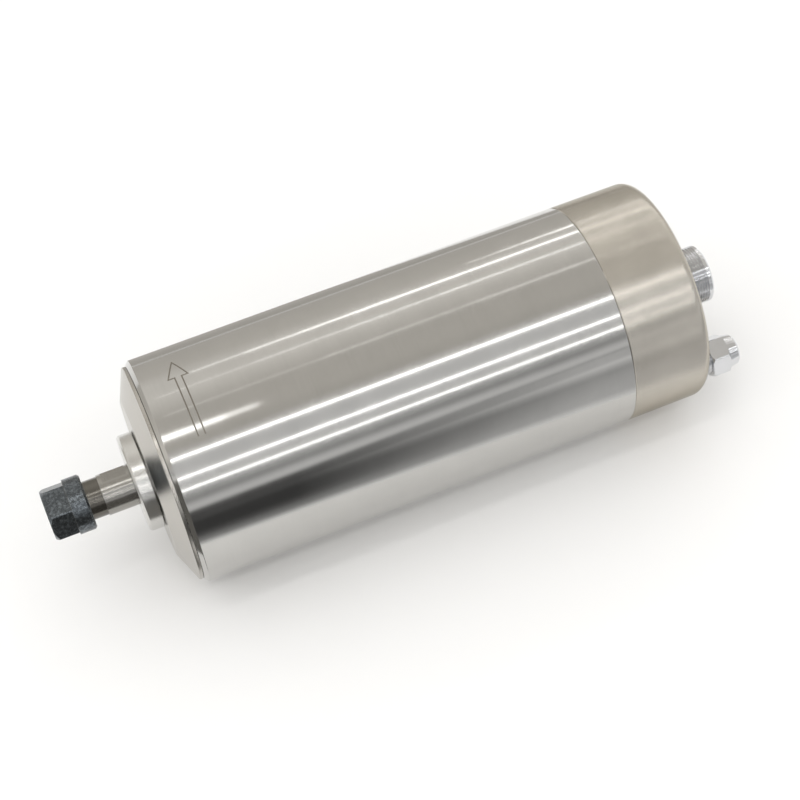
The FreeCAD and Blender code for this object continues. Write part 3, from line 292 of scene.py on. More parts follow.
def noise(tree, size_mm, detail, roughness=0.5):
    """Spots of about the given size, fixed to their piece."""
    place = add_node(tree, "ShaderNodeTexCoord")
    return add_node(tree, "ShaderNodeTexNoise", {
        "Scale": 1 / (size_mm * MM), "Detail": detail, "Roughness": roughness},
        {"Vector": place.outputs["Object"]}).outputs["Fac"]


def vary_roughness(tree, surface, source, low, high, source_low=0.0, source_high=1.0):
    """Lets the roughness run from low to high while the source does."""
    rough = add_node(tree, "ShaderNodeMapRange", {
        "From Min": source_low, "From Max": source_high, "To Min": low, "To Max": high}, {"Value": source})
    tree.links.new(rough.outputs["Result"], surface.inputs["Roughness"])


def add_bumps(tree, surface, height, depth_mm):
    """Lets light play on the surface as if the height, of 0 to 1, were cut to the given depth."""
    bumps = add_node(tree, "ShaderNodeBump", {"Strength": 1.0, "Distance": depth_mm * MM}, {"Height": height})
    tree.links.new(bumps.outputs["Normal"], surface.inputs["Normal"])


def ramp(tree, source, stops):
    """A ramp with the given (place, colour) stops."""
    node = add_node(tree, "ShaderNodeValToRGB", links={"Fac": source})
    line = node.color_ramp
    while len(line.elements) < len(stops):
        line.elements.new(0.5)
    for element, (place, value) in zip(line.elements, stops):
        element.position = place
        element.color = opaque(value)
    return node


def opaque(base):
    """A colour as the sockets want it, with its fourth part."""
    return (*base, 1.0)


def two_tones(tree, source, base, darker, lighter, low, high):
    """The base colour, from a darker tone to a lighter one while the source runs from low to high."""
    dark, light = ([min(1.0, part * factor) for part in base] for factor in (darker, lighter))
    return ramp(tree, source, [(low, dark), (high, light)]).outputs["Color"]


def calculate(tree, operation, *values):
    """The result of a sum with sockets and numbers."""
    numbers = {place: value for place, value in enumerate(values) if isinstance(value, float)}
    sockets = {place: value for place, value in enumerate(values) if place not in numbers}
    return add_node(tree, "ShaderNodeMath", {"operation": operation, **numbers}, sockets).outputs[0]


def coordinates(tree, kind="Object"):
    """The X, Y and Z of a place on its piece or, with the kind Generated, of a way into the room."""
    place = add_node(tree, "ShaderNodeTexCoord")
    return add_node(tree, "ShaderNodeSeparateXYZ", links={"Vector": place.outputs[kind]}).outputs


def turned_place(tree, along, around):
    """Coordinates that draw a pattern out into rings round X."""
    parts = coordinates(tree)
    flat = add_node(tree, "ShaderNodeCombineXYZ", links={"Y": parts["Y"], "Z": parts["Z"]})
    out = add_node(tree, "ShaderNodeVectorMath", {"operation": "LENGTH"}, {0: flat.outputs["Vector"]})
    angle = calculate(tree, "ARCTAN2", parts["Z"], parts["Y"])
    return add_node(tree, "ShaderNodeCombineXYZ", links={
        "X": calculate(tree, "MULTIPLY", parts["X"], along),
        "Y": calculate(tree, "MULTIPLY", out.outputs["Value"], along),
        "Z": calculate(tree, "MULTIPLY", angle, around)}).outputs["Vector"]


def turned_metal(name, base, roughness, spread, ring_mm, bump_mm, tint, anisotropy=0.6,
                 rings_around=0.8, dull_until=None):
    """Metal with fine rings from a lathe tool or belt, and faint clouds of 9 mm in its polish.

    The roughness varies by the spread and the colour by the tint. Up to the x given as dull_until it is
    left as it came from the tool, dark with cutting oil.
    """
    material, tree, surface = new_finish(name, {"Metallic": 1.0, "Anisotropic": anisotropy})
    rings = add_node(tree, "ShaderNodeTexNoise", {"Scale": 1.0, "Detail": 4.0, "Roughness": 0.65},
                     {"Vector": turned_place(tree, 1.0 / (ring_mm * MM), rings_around)})
    both = calculate(tree, "ADD", rings.outputs["Fac"], noise(tree, 9.0, 3.0))
    half = calculate(tree, "MULTIPLY", both, 0.5)
    tone = two_tones(tree, half, base, 1 - tint, 1 + tint, 0.35, 0.65)
    if dull_until is not None:
        dull = calculate(tree, "LESS_THAN", coordinates(tree)["X"], dull_until * MM)
        tone = add_node(tree, "ShaderNodeMix", {
            "data_type": "RGBA", "blend_type": "MULTIPLY", 7: opaque(linear(OIL_FILM))},
            {0: dull, 6: tone}).outputs[2]
    tree.links.new(tone, surface.inputs["Base Color"])
    vary_roughness(tree, surface, half, roughness - spread, roughness + spread, 0.3, 0.7)
    add_bumps(tree, surface, rings.outputs["Fac"], bump_mm)
    way = add_node(tree, "ShaderNodeTangent", {"direction_type": "RADIAL", "axis": "X"})
    tree.links.new(way.outputs["Tangent"], surface.inputs["Tangent"])
    return material


def stainless_steel_polished(colours):
    """Stainless steel tube, belt polished while it turned.

    The belt leaves rings too fine to see one by one: they draw each light out along the tube and keep
    it sharp across. The rings are drawn 0.25 mm apart, coarser than real ones, so that they just show.
    """
    return turned_metal("Stainless steel, belt polished", colours.body, roughness=0.082, spread=0.01,
                        ring_mm=0.25, bump_mm=0.0004, tint=0.03, anisotropy=0.9)


def steel_fine_turned(colours):
    """Steel end bell, fine turned: rings 0.3 mm apart draw the lights out into sectors of the cone."""
    return turned_metal("Steel, fine turned", colours.bell, roughness=0.2, spread=0.04,
                        ring_mm=0.3, bump_mm=0.0012, tint=0.05, anisotropy=0.8)


def steel_bright_turned(colours):
    """Steel cap from a lathe: brighter than the bell, with tool rings that catch the light."""
    return turned_metal("Steel, bright turned", colours.cap, roughness=0.19, spread=0.04,
                        ring_mm=0.3, bump_mm=0.0015, tint=0.05, rings_around=0.3)


def steel_ground(colours):
    """Hardened steel, ground: nearly a mirror, with short streaks left round it by the wheel.

    The neck behind the nut isn't ground, so it stays dull.
    """
    return turned_metal("Tool steel, ground", colours.shaft, roughness=0.17, spread=0.05,
                        ring_mm=0.35, bump_mm=0.003, tint=0.08, rings_around=3.0, dull_until=NECK_END)


def aluminium_blasted(colours):
    """Aluminium cover, bead blasted and clear anodised: an even grain that spreads each light wide.

    The anodised film scatters some of the light, which lifts the cover's dark sides, and takes the
    shine from its outline, where bare metal would turn white.
    The grain is drawn at 0.35 mm, larger than real blasting, so that it shows as a faint mottle.
    """
    material, tree, surface = new_finish("Aluminium, bead blasted and anodised", {
        "Metallic": 0.85, "Specular Tint": opaque(linear("#C8C4BC"))})
    grain = noise(tree, 0.35, 3.0, 0.6)
    mixed = add_node(tree, "ShaderNodeMix", {"data_type": "FLOAT", "Factor": 0.4}, {
        2: grain, 3: noise(tree, 12.0, 2.0)})
    tone = two_tones(tree, mixed.outputs[0], colours.cover, 0.9, 1.08, 0.35, 0.65)
    tree.links.new(tone, surface.inputs["Base Color"])
    vary_roughness(tree, surface, mixed.outputs[0], 0.17, 0.27)
    add_bumps(tree, surface, grain, 0.003)
    return material


def steel_black_oxide(colours):
    """Blackened steel: a dark oily skin that still mirrors, speckled and rubbed to grey on the edges."""
    material, tree, surface = new_finish("Steel, black oxide", {"Metallic": 1.0})
    grain = noise(tree, 0.5, 4.0, 0.65)
    patches = noise(tree, 1.1, 4.0, 0.7)
    # Where the rounded normal leaves the true one, an edge is near
    rounded = add_node(tree, "ShaderNodeBevel", {"samples": 6, "Radius": 0.55 * MM})
    flat = add_node(tree, "ShaderNodeNewGeometry")
    same = add_node(tree, "ShaderNodeVectorMath", {"operation": "DOT_PRODUCT"}, {
        0: rounded.outputs["Normal"], 1: flat.outputs["Normal"]})
    edge = add_node(tree, "ShaderNodeMapRange", {
        "From Min": 0.99, "From Max": 0.82}, {"Value": same.outputs["Value"]})
    worn = calculate(tree, "MULTIPLY", edge.outputs["Result"], grain)
    skin = two_tones(tree, patches, colours.black, 0.7, 1.9, 0.45, 0.72)
    bare = add_node(tree, "ShaderNodeMix", {
        "data_type": "RGBA", "clamp_factor": True, 7: opaque(linear("#8C8B88"))},
        {0: worn, 6: skin})
    tree.links.new(bare.outputs[2], surface.inputs["Base Color"])
    vary_roughness(tree, surface, grain, 0.22, 0.36, 0.3, 0.7)
    add_bumps(tree, surface, grain, 0.006)
    return material


def brass_nickel_plated(colours):
    """Brass with a bright, faintly blue nickel skin, which keeps the lights small and hard."""
    return turned_metal("Brass, nickel plated", colours.nickel, roughness=0.14, spread=0.03,
                        ring_mm=0.4, bump_mm=0.0008, tint=0.04, anisotropy=0.2)


def plain_finish(name, base, metallic, roughness, grain_mm, bump_mm):
    """A finish for small and inner pieces: an even colour with a grain of the given size."""
    tint, spread = 0.08, 0.06
    material, tree, surface = new_finish(name, {"Metallic": metallic})
    grain = noise(tree, grain_mm, 3.0)
    tone = two_tones(tree, grain, base, 1 - tint, 1 + tint, 0.3, 0.7)
    tree.links.new(tone, surface.inputs["Base Color"])
    vary_roughness(tree, surface, grain, roughness - spread, roughness + spread)
    add_bumps(tree, surface, grain, bump_mm)
    return material


# Slot, name, colour, metallic, roughness, and the grain's size and depth in millimetres
PLAIN_FINISHES = (
    # Yellow and smooth, with a soft shine
    ("contact_brass", "Brass, drawn", "#D9B566", 1.0, 0.25, 0.4, 0.002),
    # Nearly black, with the dull shine of a mould's skin
    ("moulded_insert", "Phenolic, moulded", "#17181A", 0.0, 0.45, 0.3, 0.008),
    # Grey and half bright from the cutter
    ("plain_steel", "Steel, machined", "#B5B5B5", 1.0, 0.35, 0.3, 0.003),
    # Paler than steel, half bright from the cutter
    ("jacket_aluminium", "Aluminium, machined", "#D8D8D6", 1.0, 0.35, 0.3, 0.003),
    # Black and soft, with hardly a shine
    ("seal_rubber", "Nitrile rubber, moulded", "#101010", 0.0, 0.55, 0.2, 0.004),
    # Bluish grey and dull, with the sheets' stamped edges in view
    ("core_steel", "Electrical steel, stamped sheets", "#8C8E92", 1.0, 0.45, 0.5, 0.01),
    # Dark copper red under clear enamel, uneven from wire to wire
    ("winding_copper", "Copper wire, enamelled", "#A5552B", 1.0, 0.32, 0.6, 0.03),
    # Brick red and faintly greasy
    ("lead_rubber", "Silicone rubber, extruded", "#8E1D17", 0.0, 0.4, 0.4, 0.004),
    # Brown cloth in resin, dull where the tool has cut it
    ("cage_plastic", "Phenolic laminate, turned", "#6A4A24", 0.0, 0.5, 0.3, 0.01),
)

FINISHES = {}


def make_finishes(colours):
    """All finishes, each once, under the record's material slots."""
    FINISHES.update({
        "polished_steel": stainless_steel_polished(colours),
        "satin_bell": steel_fine_turned(colours),
        "turned_cap": steel_bright_turned(colours),
        "ground_steel": steel_ground(colours),
        "blackened_steel": steel_black_oxide(colours),
        "blasted_cover": aluminium_blasted(colours),
        "plated_brass": brass_nickel_plated(colours),
        # A thin dull skin that the laser has burnt brown
        "laser_mark": plain_finish("Stainless steel, laser marked", colours.mark, 1.0, 0.45, 0.3, 0.002),
    })
    for slot, name, code, *values in PLAIN_FINISHES:
        FINISHES[slot] = plain_finish(name, linear(code), *values)


# Pieces

def settings():
    return bpy.context.scene.spindle


def build_body_tube():
    """Tube with its front chamfer and the fine seam at its rear end."""
    node = "body_tube"
    start, end, outer = near(node), far(node), reach(node)
    wall, chamfer, seam = 2.25, 1.4, 0.25
    piece = lathe("steel_body_tube", [
        (start, outer - wall), (end, outer - wall), (end, outer - seam), (end - seam, outer),
        (start + chamfer, outer), (start, outer - chamfer),
    ])
    ease(piece, settings().sizes.edge_break * 0.5)
    dress(piece, "housing", "polished_steel", node)


def build_front_bell():
    """Coned end with its rim, the bearings' seat inside and the spigot that holds the jacket."""
    node = "front_bell"
    start, end, outer = near(node), far(node), reach(node)
    lip, seat, stack, hub, hub_radius, spigot = 12.8, 17.52, -2.5, 17.3, 28.0, 31.0
    flange, wall, rim, land, face = 15.0, 37.7, -1.45, -2.7, 28.0
    piece = lathe("front_bell_cone", [
        (start, lip), (stack, lip), (stack, seat), (hub, seat), (hub, hub_radius), (end, hub_radius),
        (end, spigot), (flange, spigot), (flange, wall), (rim, wall), (rim, outer), (land, outer),
        (start, face),
    ])
    ease(piece, settings().sizes.edge_break)
    dress(piece, "housing", "satin_bell", node)


def build_dust_cap():
    """Turned cap with a chamfered rim, and the boss behind it that runs in the bell's lip."""
    node = "dust_cap"
    start, end, outer = near(node), far(node), reach(node)
    bore, collar, boss = 7.22, 10.42, 12.5
    web, chamfer, rim_end = start + 1.0, 0.8, -7.3
    piece = lathe("front_dust_cap", [
        (start, bore), (web, bore), (web, collar), (end, collar), (end, boss), (rim_end, boss),
        (rim_end, outer), (start + chamfer, outer), (start, outer - chamfer),
    ])
    ease(piece, settings().sizes.edge_break)
    dress(piece, "spindle", "turned_cap", node)


def build_shaft():
    """Shaft with the collet's taper, nose thread, wrench flats, bearing seats and circlip groove."""
    node = "spindle_shaft"
    start, end, collar = near(node), far(node), reach(node)
    sizes = settings().sizes
    thread, thread_end, thread_depth, front_chamfer, rear_chamfer = 7.0, -28.9, 0.46, 0.6, 0.3
    neck, nose = 6.8, 7.2
    half_flats, flats_angle, flats_start, flats_end, least_cosine = 6.5, 105.0, -22.0, -13.6, 0.1
    mouth, taper, relief, relief_start, relief_end = 5.84, 4.04, 4.19, -25.2, -22.0
    tool_hole, tool_hole_end = 3.3, -4.0
    collar_start, collar_end, front_seat, front_seat_end = -11.6, -2.5, 8.5, 25.0
    rotor_seat, rotor_seat_end, rear_seat, chamfer = 8.0, 128.0, 7.5, 0.5
    groove, groove_start, groove_end = 7.0, 150.45, 151.55
    body = [
        (relief_start, taper), (relief_start, relief), (relief_end, relief), (relief_end, tool_hole),
        (tool_hole_end, tool_hole), (tool_hole_end, 0.0), (end, 0.0), (end, rear_seat - chamfer),
        (end - chamfer, rear_seat), (groove_end, rear_seat), (groove_end, groove), (groove_start, groove),
        (groove_start, rear_seat), (rotor_seat_end, rear_seat), (rotor_seat_end, rotor_seat),
        (front_seat_end, rotor_seat), (front_seat_end, front_seat), (collar_end, front_seat),
        (collar_end, collar), (collar_start, collar), (collar_start, nose),
    ]

    def profile(angle):
        off_flat = math.radians((angle - flats_angle + 90.0) % 180.0 - 90.0)
        flat = min(nose, half_flats / max(least_cosine, math.cos(off_flat)))
        screw = thread_line(start + front_chamfer, thread_end - rear_chamfer, thread,
                            sizes.nose_pitch / MM, thread_depth, angle, per_turn=12)
        return [(start, mouth), *body, (flats_end, nose), (flats_end, flat), (flats_start, flat),
                (flats_start, nose), (NECK_END, nose), (NECK_END, neck), (thread_end, neck),
                (thread_end, thread - rear_chamfer), *reversed(screw), (start, thread - front_chamfer)]

    piece = spun("spindle_nose_and_shaft", profile, first_angle=0.5)
    ease(piece, sizes.edge_break * 0.6, crease=20.0)
    dress(piece, "spindle", "ground_steel", node)


def build_collet_nut():
    """Nut with a hexagon in front, a round collar behind and the coned mouth of the collet's seat."""
    node = "collet_nut"
    start, end = near(node), far(node)
    flats, corner_angle, corner_land = 17.0, 36.8, 0.12
    shoulder, collar, collar_chamfer, nose = -34.8, 9.8, 0.7, 8.4
    mouth, lip_front, lip_rear, lip, bore, cone = 4.4, -40.0, -39.0, 5.2, 7.05, 5.9
    below_collar = 0.1

    def profile(angle):
        side = min(hexagon_radius(flats, angle, corner_angle, corner_land), collar - below_collar)
        return [(start, mouth), (lip_front, cone), (lip_front, lip), (lip_rear, lip), (lip_rear, bore),
                (end, bore), (end, collar - collar_chamfer), (end - collar_chamfer, collar),
                (shoulder, collar), (shoulder, side), (start + side - nose, side), (start, nose)]

    piece = spun("collet_nut_hexagon", profile, first_angle=corner_angle)
    ease(piece, settings().sizes.nut_edge_break, crease=14.0)
    dress(piece, "collet_nut", "blackened_steel", node)


def screw_places():
    """The y and z of the four cover screws."""
    circle = 31.5
    return [(-circle, 0.0), (0.0, circle), (circle, 0.0), (0.0, -circle)]


def build_rear_cover():
    """Cup with a large rounded rim, the connector's hole and the recesses of the screws."""
    node = "rear_cover"
    start, end, outer = near(node), far(node), reach(node)
    seam, seam_chamfer, spigot, rim, cavity, floor, stem = 157.3, 0.25, 37.7, 3.7, 25.5, 180.6, 9.45
    piece = lathe("rear_cover_cup", [
        (start, cavity), (floor, cavity), (floor, stem), (end, stem),
        *arc(end - rim, outer - rim, rim, 0.0, 90.0),
        (seam + seam_chamfer, outer), (seam, outer - seam_chamfer), (seam, spigot), (start, spigot),
    ])
    recess, recess_radius, hole, spare = 5.6, 4.55, 2.55, 1.0
    high = end + spare
    cutters = []
    for place in screw_places():
        for low, radius in ((end - recess, recess_radius), (start - spare, hole)):
            cutters.append(lathe("cutter", [(low, 0.0), (high, 0.0), (high, radius), (low, radius)],
                                 steps=96, middle=place))
    cut_out(piece, cutters)
    ease(piece, settings().sizes.edge_break)
    dress(piece, "housing", "blasted_cover", node)


def build_cover_screws():
    """Socket head screws, whose heads stand 0.6 mm below the cover's face."""
    node = "cover_screws"
    start, end = near(node), far(node)
    head, shank, head_radius, key, key_depth = 5.0, 2.5, 4.25, 4.0, 2.75
    # Each screw came to rest at an angle of its own
    step_angle = 15.0
    for number, place in enumerate(screw_places()):
        rest_angle = step_angle * number

        def profile(angle):
            socket = hexagon_radius(key, angle, rest_angle, 0.0)
            return [(start, 0.0), (end - key_depth, 0.0), (end - key_depth, socket), (end, socket),
                    (end, head_radius), (end - head, head_radius), (end - head, shank), (start, shank)]

        piece = spun(f"cover_screw_{number + 1}", profile, steps=180, first_angle=rest_angle, middle=place)
        ease(piece, settings().sizes.edge_break, crease=25.0)
        dress(piece, "housing", "blackened_steel", node)


def build_connector():
    """Shell with a fine thread, a smooth lip and a flange against the cover."""
    sizes = settings().sizes
    node = "connector_shell"
    start, end, flange_radius = near(node), far(node), reach(node)
    stem_bore, floor, mouth, radius, lip, lip_chamfer = 7.6, 190.4, 8.9, 10.4, 1.7, 0.7
    cover_end, flange, stem, edge, undercut = 186.6, 2.0, 9.4, 0.3, 0.4
    flange_end, groove = cover_end + flange, radius - 0.6

    def profile(angle):
        screw = thread_line(flange_end + undercut, end - lip, radius, sizes.connector_pitch / MM,
                            sizes.connector_depth / MM, angle, run_in=0.4, run_out=0.5)
        return [(start, stem_bore), (floor, stem_bore), (floor, mouth), (end - edge, mouth),
                (end, mouth + edge), (end, radius - lip_chamfer), (end - lip_chamfer, radius),
                *reversed(screw), (flange_end, groove), (flange_end, flange_radius - edge),
                (flange_end - edge, flange_radius), (cover_end, flange_radius),
                (cover_end, stem), (start, stem)]

    piece = spun("connector_threaded_shell", profile)
    ease(piece, 0.0, crease=35.0)
    dress(piece, "housing", "plated_brass", node)


def build_fittings():
    """Nipple and union nut of both hose fittings."""
    sizes = settings().sizes
    for side in ("inlet", "outlet"):
        build_nipple(side, sizes)
        build_union_nut(side, sizes)


def build_nipple(side, sizes):
    """Screwed body of a hose fitting: a hexagon against the cover and a threaded end with a coned seat."""
    node = f"{side}_nipple"
    middle = centre(node)
    start, end = near(node), far(node)
    base, flats, hexagon_end, corner_angle = 186.6, 13.0, 190.6, 35.0
    thread, depth, thread_gap, thread_chamfer, undercut = 5.3, 0.5, 0.2, 0.3, 0.4
    hole, socket, socket_start, cone, stem = 2.4, 3.05, 191.8, 1.2, 4.95
    bevel_radius, bevel_slope = 6.6, 0.6

    def profile(angle):
        side_radius = hexagon_radius(flats, angle, corner_angle)
        screw = thread_line(hexagon_end + thread_gap, end - thread_chamfer, thread,
                            sizes.fitting_pitch / MM, depth, angle, run_in=0.3, run_out=0.6)
        bevel = (side_radius - bevel_radius) * bevel_slope
        return [(start, hole), (socket_start, hole), (socket_start, socket), (end - cone, socket),
                (end, socket + cone), *reversed(screw), (hexagon_end, thread - undercut),
                (hexagon_end, bevel_radius), (hexagon_end - bevel, side_radius), (base, side_radius),
                (base, stem), (start, stem)]

    piece = spun(f"{side}_nipple_body", profile, first_angle=corner_angle, middle=middle)
    ease(piece, 0.0, crease=28.0)
    dress(piece, "housing", "plated_brass", node)


def build_union_nut(side, sizes):
    """Nut of a hose fitting: a hexagon that runs into a smooth nose, and the thread's room inside."""
    node = f"{side}_union_nut"
    middle = centre(node)
    start, end = near(node), far(node)
    flats, corner_angle = 13.0, 35.0
    shoulder, shoulder_radius, taper, nose_base, nose, chamfer = start + 7.0, 6.4, 0.8, 6.2, 5.5, 0.7
    bore, thread, thread_end, cone = 3.05, 5.35, start + 6.375, 1.2
    taper_rise = flats / math.sqrt(3) - shoulder_radius
    bevel_radius, least_bevel = 6.75, 0.05

    def profile(angle):
        radius = hexagon_radius(flats, angle, corner_angle)
        taper_start = shoulder - taper * (radius - shoulder_radius) / taper_rise
        bevel = max(least_bevel, radius - bevel_radius)
        return [(start, thread), (thread_end, thread), (thread_end, bore + cone), (thread_end + cone, bore),
                (end, bore), (end, nose - chamfer), (end - chamfer, nose), (shoulder, nose_base),
                (shoulder, shoulder_radius), (taper_start, radius), (start + bevel, radius),
                (start, min(radius - least_bevel, bevel_radius))]

    piece = spun(f"{side}_union_nut_body", profile, first_angle=corner_angle, middle=middle)
    ease(piece, sizes.edge_break, crease=14.0)
    dress(piece, node, "plated_brass", node)


def arrow_sides(line, half):
    """The corners of a line of the given half width, on its left and on its right."""
    sharpest = 0.35
    sides = ([], [])
    for number, point in enumerate(line):
        before = (point - line[number - 1]).normalized() if number else None
        after = (line[number + 1] - point).normalized() if number + 1 < len(line) else None
        way = ((before or after) + (after or before)).normalized()
        across = Vector((-way.y, way.x))
        straight = after or before
        stretch = half / max(sharpest, across.dot(Vector((-straight.y, straight.x))))
        for side, sign in zip(sides, (1, -1)):
            side.append(point + across * stretch * sign)
    return sides


def build_arrow():
    """Hollow arrow round the body that shows which way the shaft turns, as a laser marks it."""
    sizes = settings().sizes
    radius, skin, step_length = reach("body_tube"), 0.012, 0.6
    middle, half_shaft, half_head = 12.5, 1.2, 3.4
    tip, head = 101.0, 89.0
    tail = tip - math.degrees(sizes.arrow_length / MM / radius)
    path = [(middle - half_shaft, tail), (middle - half_shaft, head), (middle - half_head, head),
            (middle, tip), (middle + half_head, head), (middle + half_shaft, head),
            (middle + half_shaft, tail)]
    degree = math.radians(1.0) * radius
    line = [Vector((x, angle * degree)) for x, angle in path]
    sides = arrow_sides(line, sizes.arrow_line / MM / 2)
    form = bmesh.new()

    def row(left, right, share):
        """The four corners of the line's section, part of the way along one stroke."""
        corners = []
        for out in (radius - skin, radius + skin):
            for low, high in (left, right):
                flat = low.lerp(high, share)
                turn = flat.y / radius
                place = (flat.x, -math.cos(turn) * out, math.sin(turn) * out)
                corners.append(form.verts.new([part * MM for part in place]))
        return corners

    rows = []
    for number in range(len(line) - 1):
        left, right = ((side[number], side[number + 1]) for side in sides)
        parts = max(1, int((line[number + 1] - line[number]).length / step_length))
        for part in range(parts):
            rows.append(row(left, right, part / parts))
    rows.append(row(*((side[-1], side[-1]) for side in sides), 0.0))
    for here, there in zip(rows, rows[1:]):
        for a, b in ((0, 1), (1, 3), (3, 2), (2, 0)):
            form.faces.new((here[a], here[b], there[b], there[a]))
    for cap in (rows[0], rows[-1]):
        form.faces.new([cap[corner] for corner in (0, 1, 3, 2)])
    piece = object_from("direction_arrow", form)
    dress(piece, "housing", "polished_steel", finish="laser_mark")


def build_inner_pieces():
    """The CAD nodes that stay get the finish of their own slot."""
    for entry in frame["record"]["subparts"]:
        piece = frame["nodes"][entry["node"]]
        piece.data.materials.clear()
        piece.data.materials.append(FINISHES[entry["material_slot"]])


# Studio

# How far the soft boxes are from the axis, and how far apart the ones that make a fading end
STRIP_DISTANCE = 0.9
STRIP_SPACING = 3 * MM
FADE_STEPS = 4

# Long soft boxes: angle in degrees from the front over the top, width in metres, level, ends along X
# and how far an end takes to fade, to either side of its place
STRIPS = (
    ("Strip low", 22.5, 0.018, 4.8, -0.9, 1.3, 0.0),
    ("Strip middle", 34.0, 0.02, 4.8, -0.9, 1.3, 0.0),
    ("Strip high", 52.6, 0.026, 4.8, -0.9, 1.3, 0.0),
    ("Strip overhead", 74.6, 0.07, 4.0, -1.0, 0.08, 0.04),
    ("Strip over the rear", 95.6, 0.008, 3.2, 0.25, 1.5, 0.2),
    ("Strip behind low", 117.4, 0.008, 4.0, 0.17, 1.5, 0.12),
    ("Strip behind", 133.4, 0.02, 4.2, 0.15, 1.4, 0.07),
    ("Strip far behind", 145.0, 0.014, 5.0, 0.36, 1.6, 0.04),
)


def fading_strip(name, angle, width, brightness, left, right, fade):
    """A soft box whose ends fade, made of strips of different lengths behind each other."""
    count = FADE_STEPS if fade else 1
    for step in range(count):
        shift = fade * (2 * step / (FADE_STEPS - 1) - 1)
        strip_light(f"{name} {step + 1}", angle, width, brightness / count, left + shift, right - shift,
                    STRIP_DISTANCE + STRIP_SPACING * step)


def set_axes(item, x_axis, y_axis, z_axis, place):
    """Puts an object in its place, with its own axes along the given ones."""
    item.matrix_world = Matrix((*zip(x_axis, y_axis, z_axis, place), (0.0, 0.0, 0.0, 1.0)))


def strip_light(name, angle, width, brightness, left, right, distance):
    """A long soft box beside the object, at an angle from -Y towards +Z, facing the spindle's axis."""
    light = bpy.data.lights.new(name, "AREA")
    light.shape = "RECTANGLE"
    light.size = right - left
    light.size_y = width
    light.energy = brightness * math.pi * light.size * width
    turn = math.radians(angle)
    way = Vector((0.0, -math.cos(turn), math.sin(turn)))
    place = way * distance + Vector(((left + right) / 2, 0.0, 0.0))
    along = Vector((1.0, 0.0, 0.0))
    set_axes(add_object(name, light), along, way.cross(along), way, place)


# The room's walls as metal sees them: height in degrees from the front over the top, level and warmth
ROOM = (
    (-180, 0.62, 0.3), (0, 0.32, 0.0), (2, 0.80, 0.0), (6, 0.70, 0.0), (11, 0.34, 0.0), (20, 0.60, 0.0),
    (27, 0.74, 0.0), (47, 0.72, 0.0), (57, 0.68, 0.5), (62, 0.56, 1.0), (72, 0.62, 1.0), (95, 0.62, 1.0),
    (116, 0.86, 0.8), (138, 0.82, 0.8), (150, 0.68, 1.0), (180, 0.57, 1.0),
)
LAMPLIGHT = (1.0, 0.96, 0.89)


def lamplit(level):
    """A grey of the given level in the room's warm light."""
    return opaque(level * part for part in LAMPLIGHT)


def build_world():
    """A pale room: what metal sees of it, by height and side, and plain white for all else."""
    world = bpy.data.worlds.new("Studio")
    bpy.context.scene.world = world
    world.use_nodes = True
    tree = world.node_tree
    tree.nodes.clear()
    parts = coordinates(tree, "Generated")
    angle = calculate(tree, "ARCTAN2", parts["Z"], calculate(tree, "MULTIPLY", parts["Y"], -1.0))
    share = add_node(tree, "ShaderNodeMapRange", {"From Min": -math.pi, "From Max": math.pi}, {
        "Value": angle})
    walls = [((degrees + 180) / 360, tuple(level * (1 - warmth * (1 - part)) for part in LAMPLIGHT))
             for degrees, level, warmth in ROOM]
    room = ramp(tree, share.outputs["Result"], walls)
    seen = add_node(tree, "ShaderNodeBackground", {"Strength": 1.0}, {"Color": room.outputs["Color"]})
    white = add_node(tree, "ShaderNodeBackground", {"Color": (1.0, 1.0, 1.0, 1.0), "Strength": 1.0})
    rays = add_node(tree, "ShaderNodeLightPath")
    both = add_node(tree, "ShaderNodeMixShader", links={
        0: rays.outputs["Is Glossy Ray"], 1: white.outputs["Background"], 2: seen.outputs["Background"]})
    add_node(tree, "ShaderNodeOutputWorld", links={"Surface": both.outputs["Shader"]})


# The cards' height over the floor, and the distance at which they end in front
CARD_LIFT = 2 * MM
CARD_END = -5.8

# How bright the card in front glows, to paint the tube's dark band as a reflection, at some distances from
# its
# near edge, in metres: under the tube's front end, and under its rear end
DARK_LEVELS = ((0.0, 0.9), (0.012, 0.3), (0.037, 0.10), (0.061, 0.055), (0.16, 0.055), (0.257, 0.10),
               (0.33, 0.085), (1.0, 0.10))
PALE_LEVELS = ((0.0, 0.9), (0.012, 0.60), (0.05, 0.52), (0.11, 0.42), (0.16, 0.56), (0.257, 0.85),
               (0.33, 0.60), (1.0, 0.60))

# Cards of one tone, whose glow paints dark and grey reflections in the metal: name, corners on the floor in
# metres and level
PLAIN_CARDS = (
    ("nose_card", ((-1.2, CARD_END), (0.0, CARD_END), (0.0, -0.04), (-1.2, -0.04)), 0.16),
    ("grey_card", ((0.0, 0.11), (0.08, 0.11), (1.6, 2.0), (0.0, 2.0)), 0.5),
)


def build_sheet(name, corners, height, material):
    """A flat sheet that belongs to the studio."""
    mesh = bpy.data.meshes.new(name)
    mesh.from_pydata([(x, y, height) for x, y in corners], [], [(0, 1, 2, 3)])
    mesh.materials.append(material)
    sheet = add_object(name, mesh)
    return sheet


def floor_height():
    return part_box("body_tube")[0].z


def build_floor():
    """White paper, without a shine, on which the spindle lies."""
    size = 6.0
    material, *_ = new_finish("Paper, white matt", {
        "Base Color": opaque(linear("#F7F6F4")), "Roughness": 0.9, "Specular IOR Level": 0.0})
    build_sheet("studio_floor", [(-size, -size), (size, -size), (size, size), (-size, size)],
                floor_height(), material)


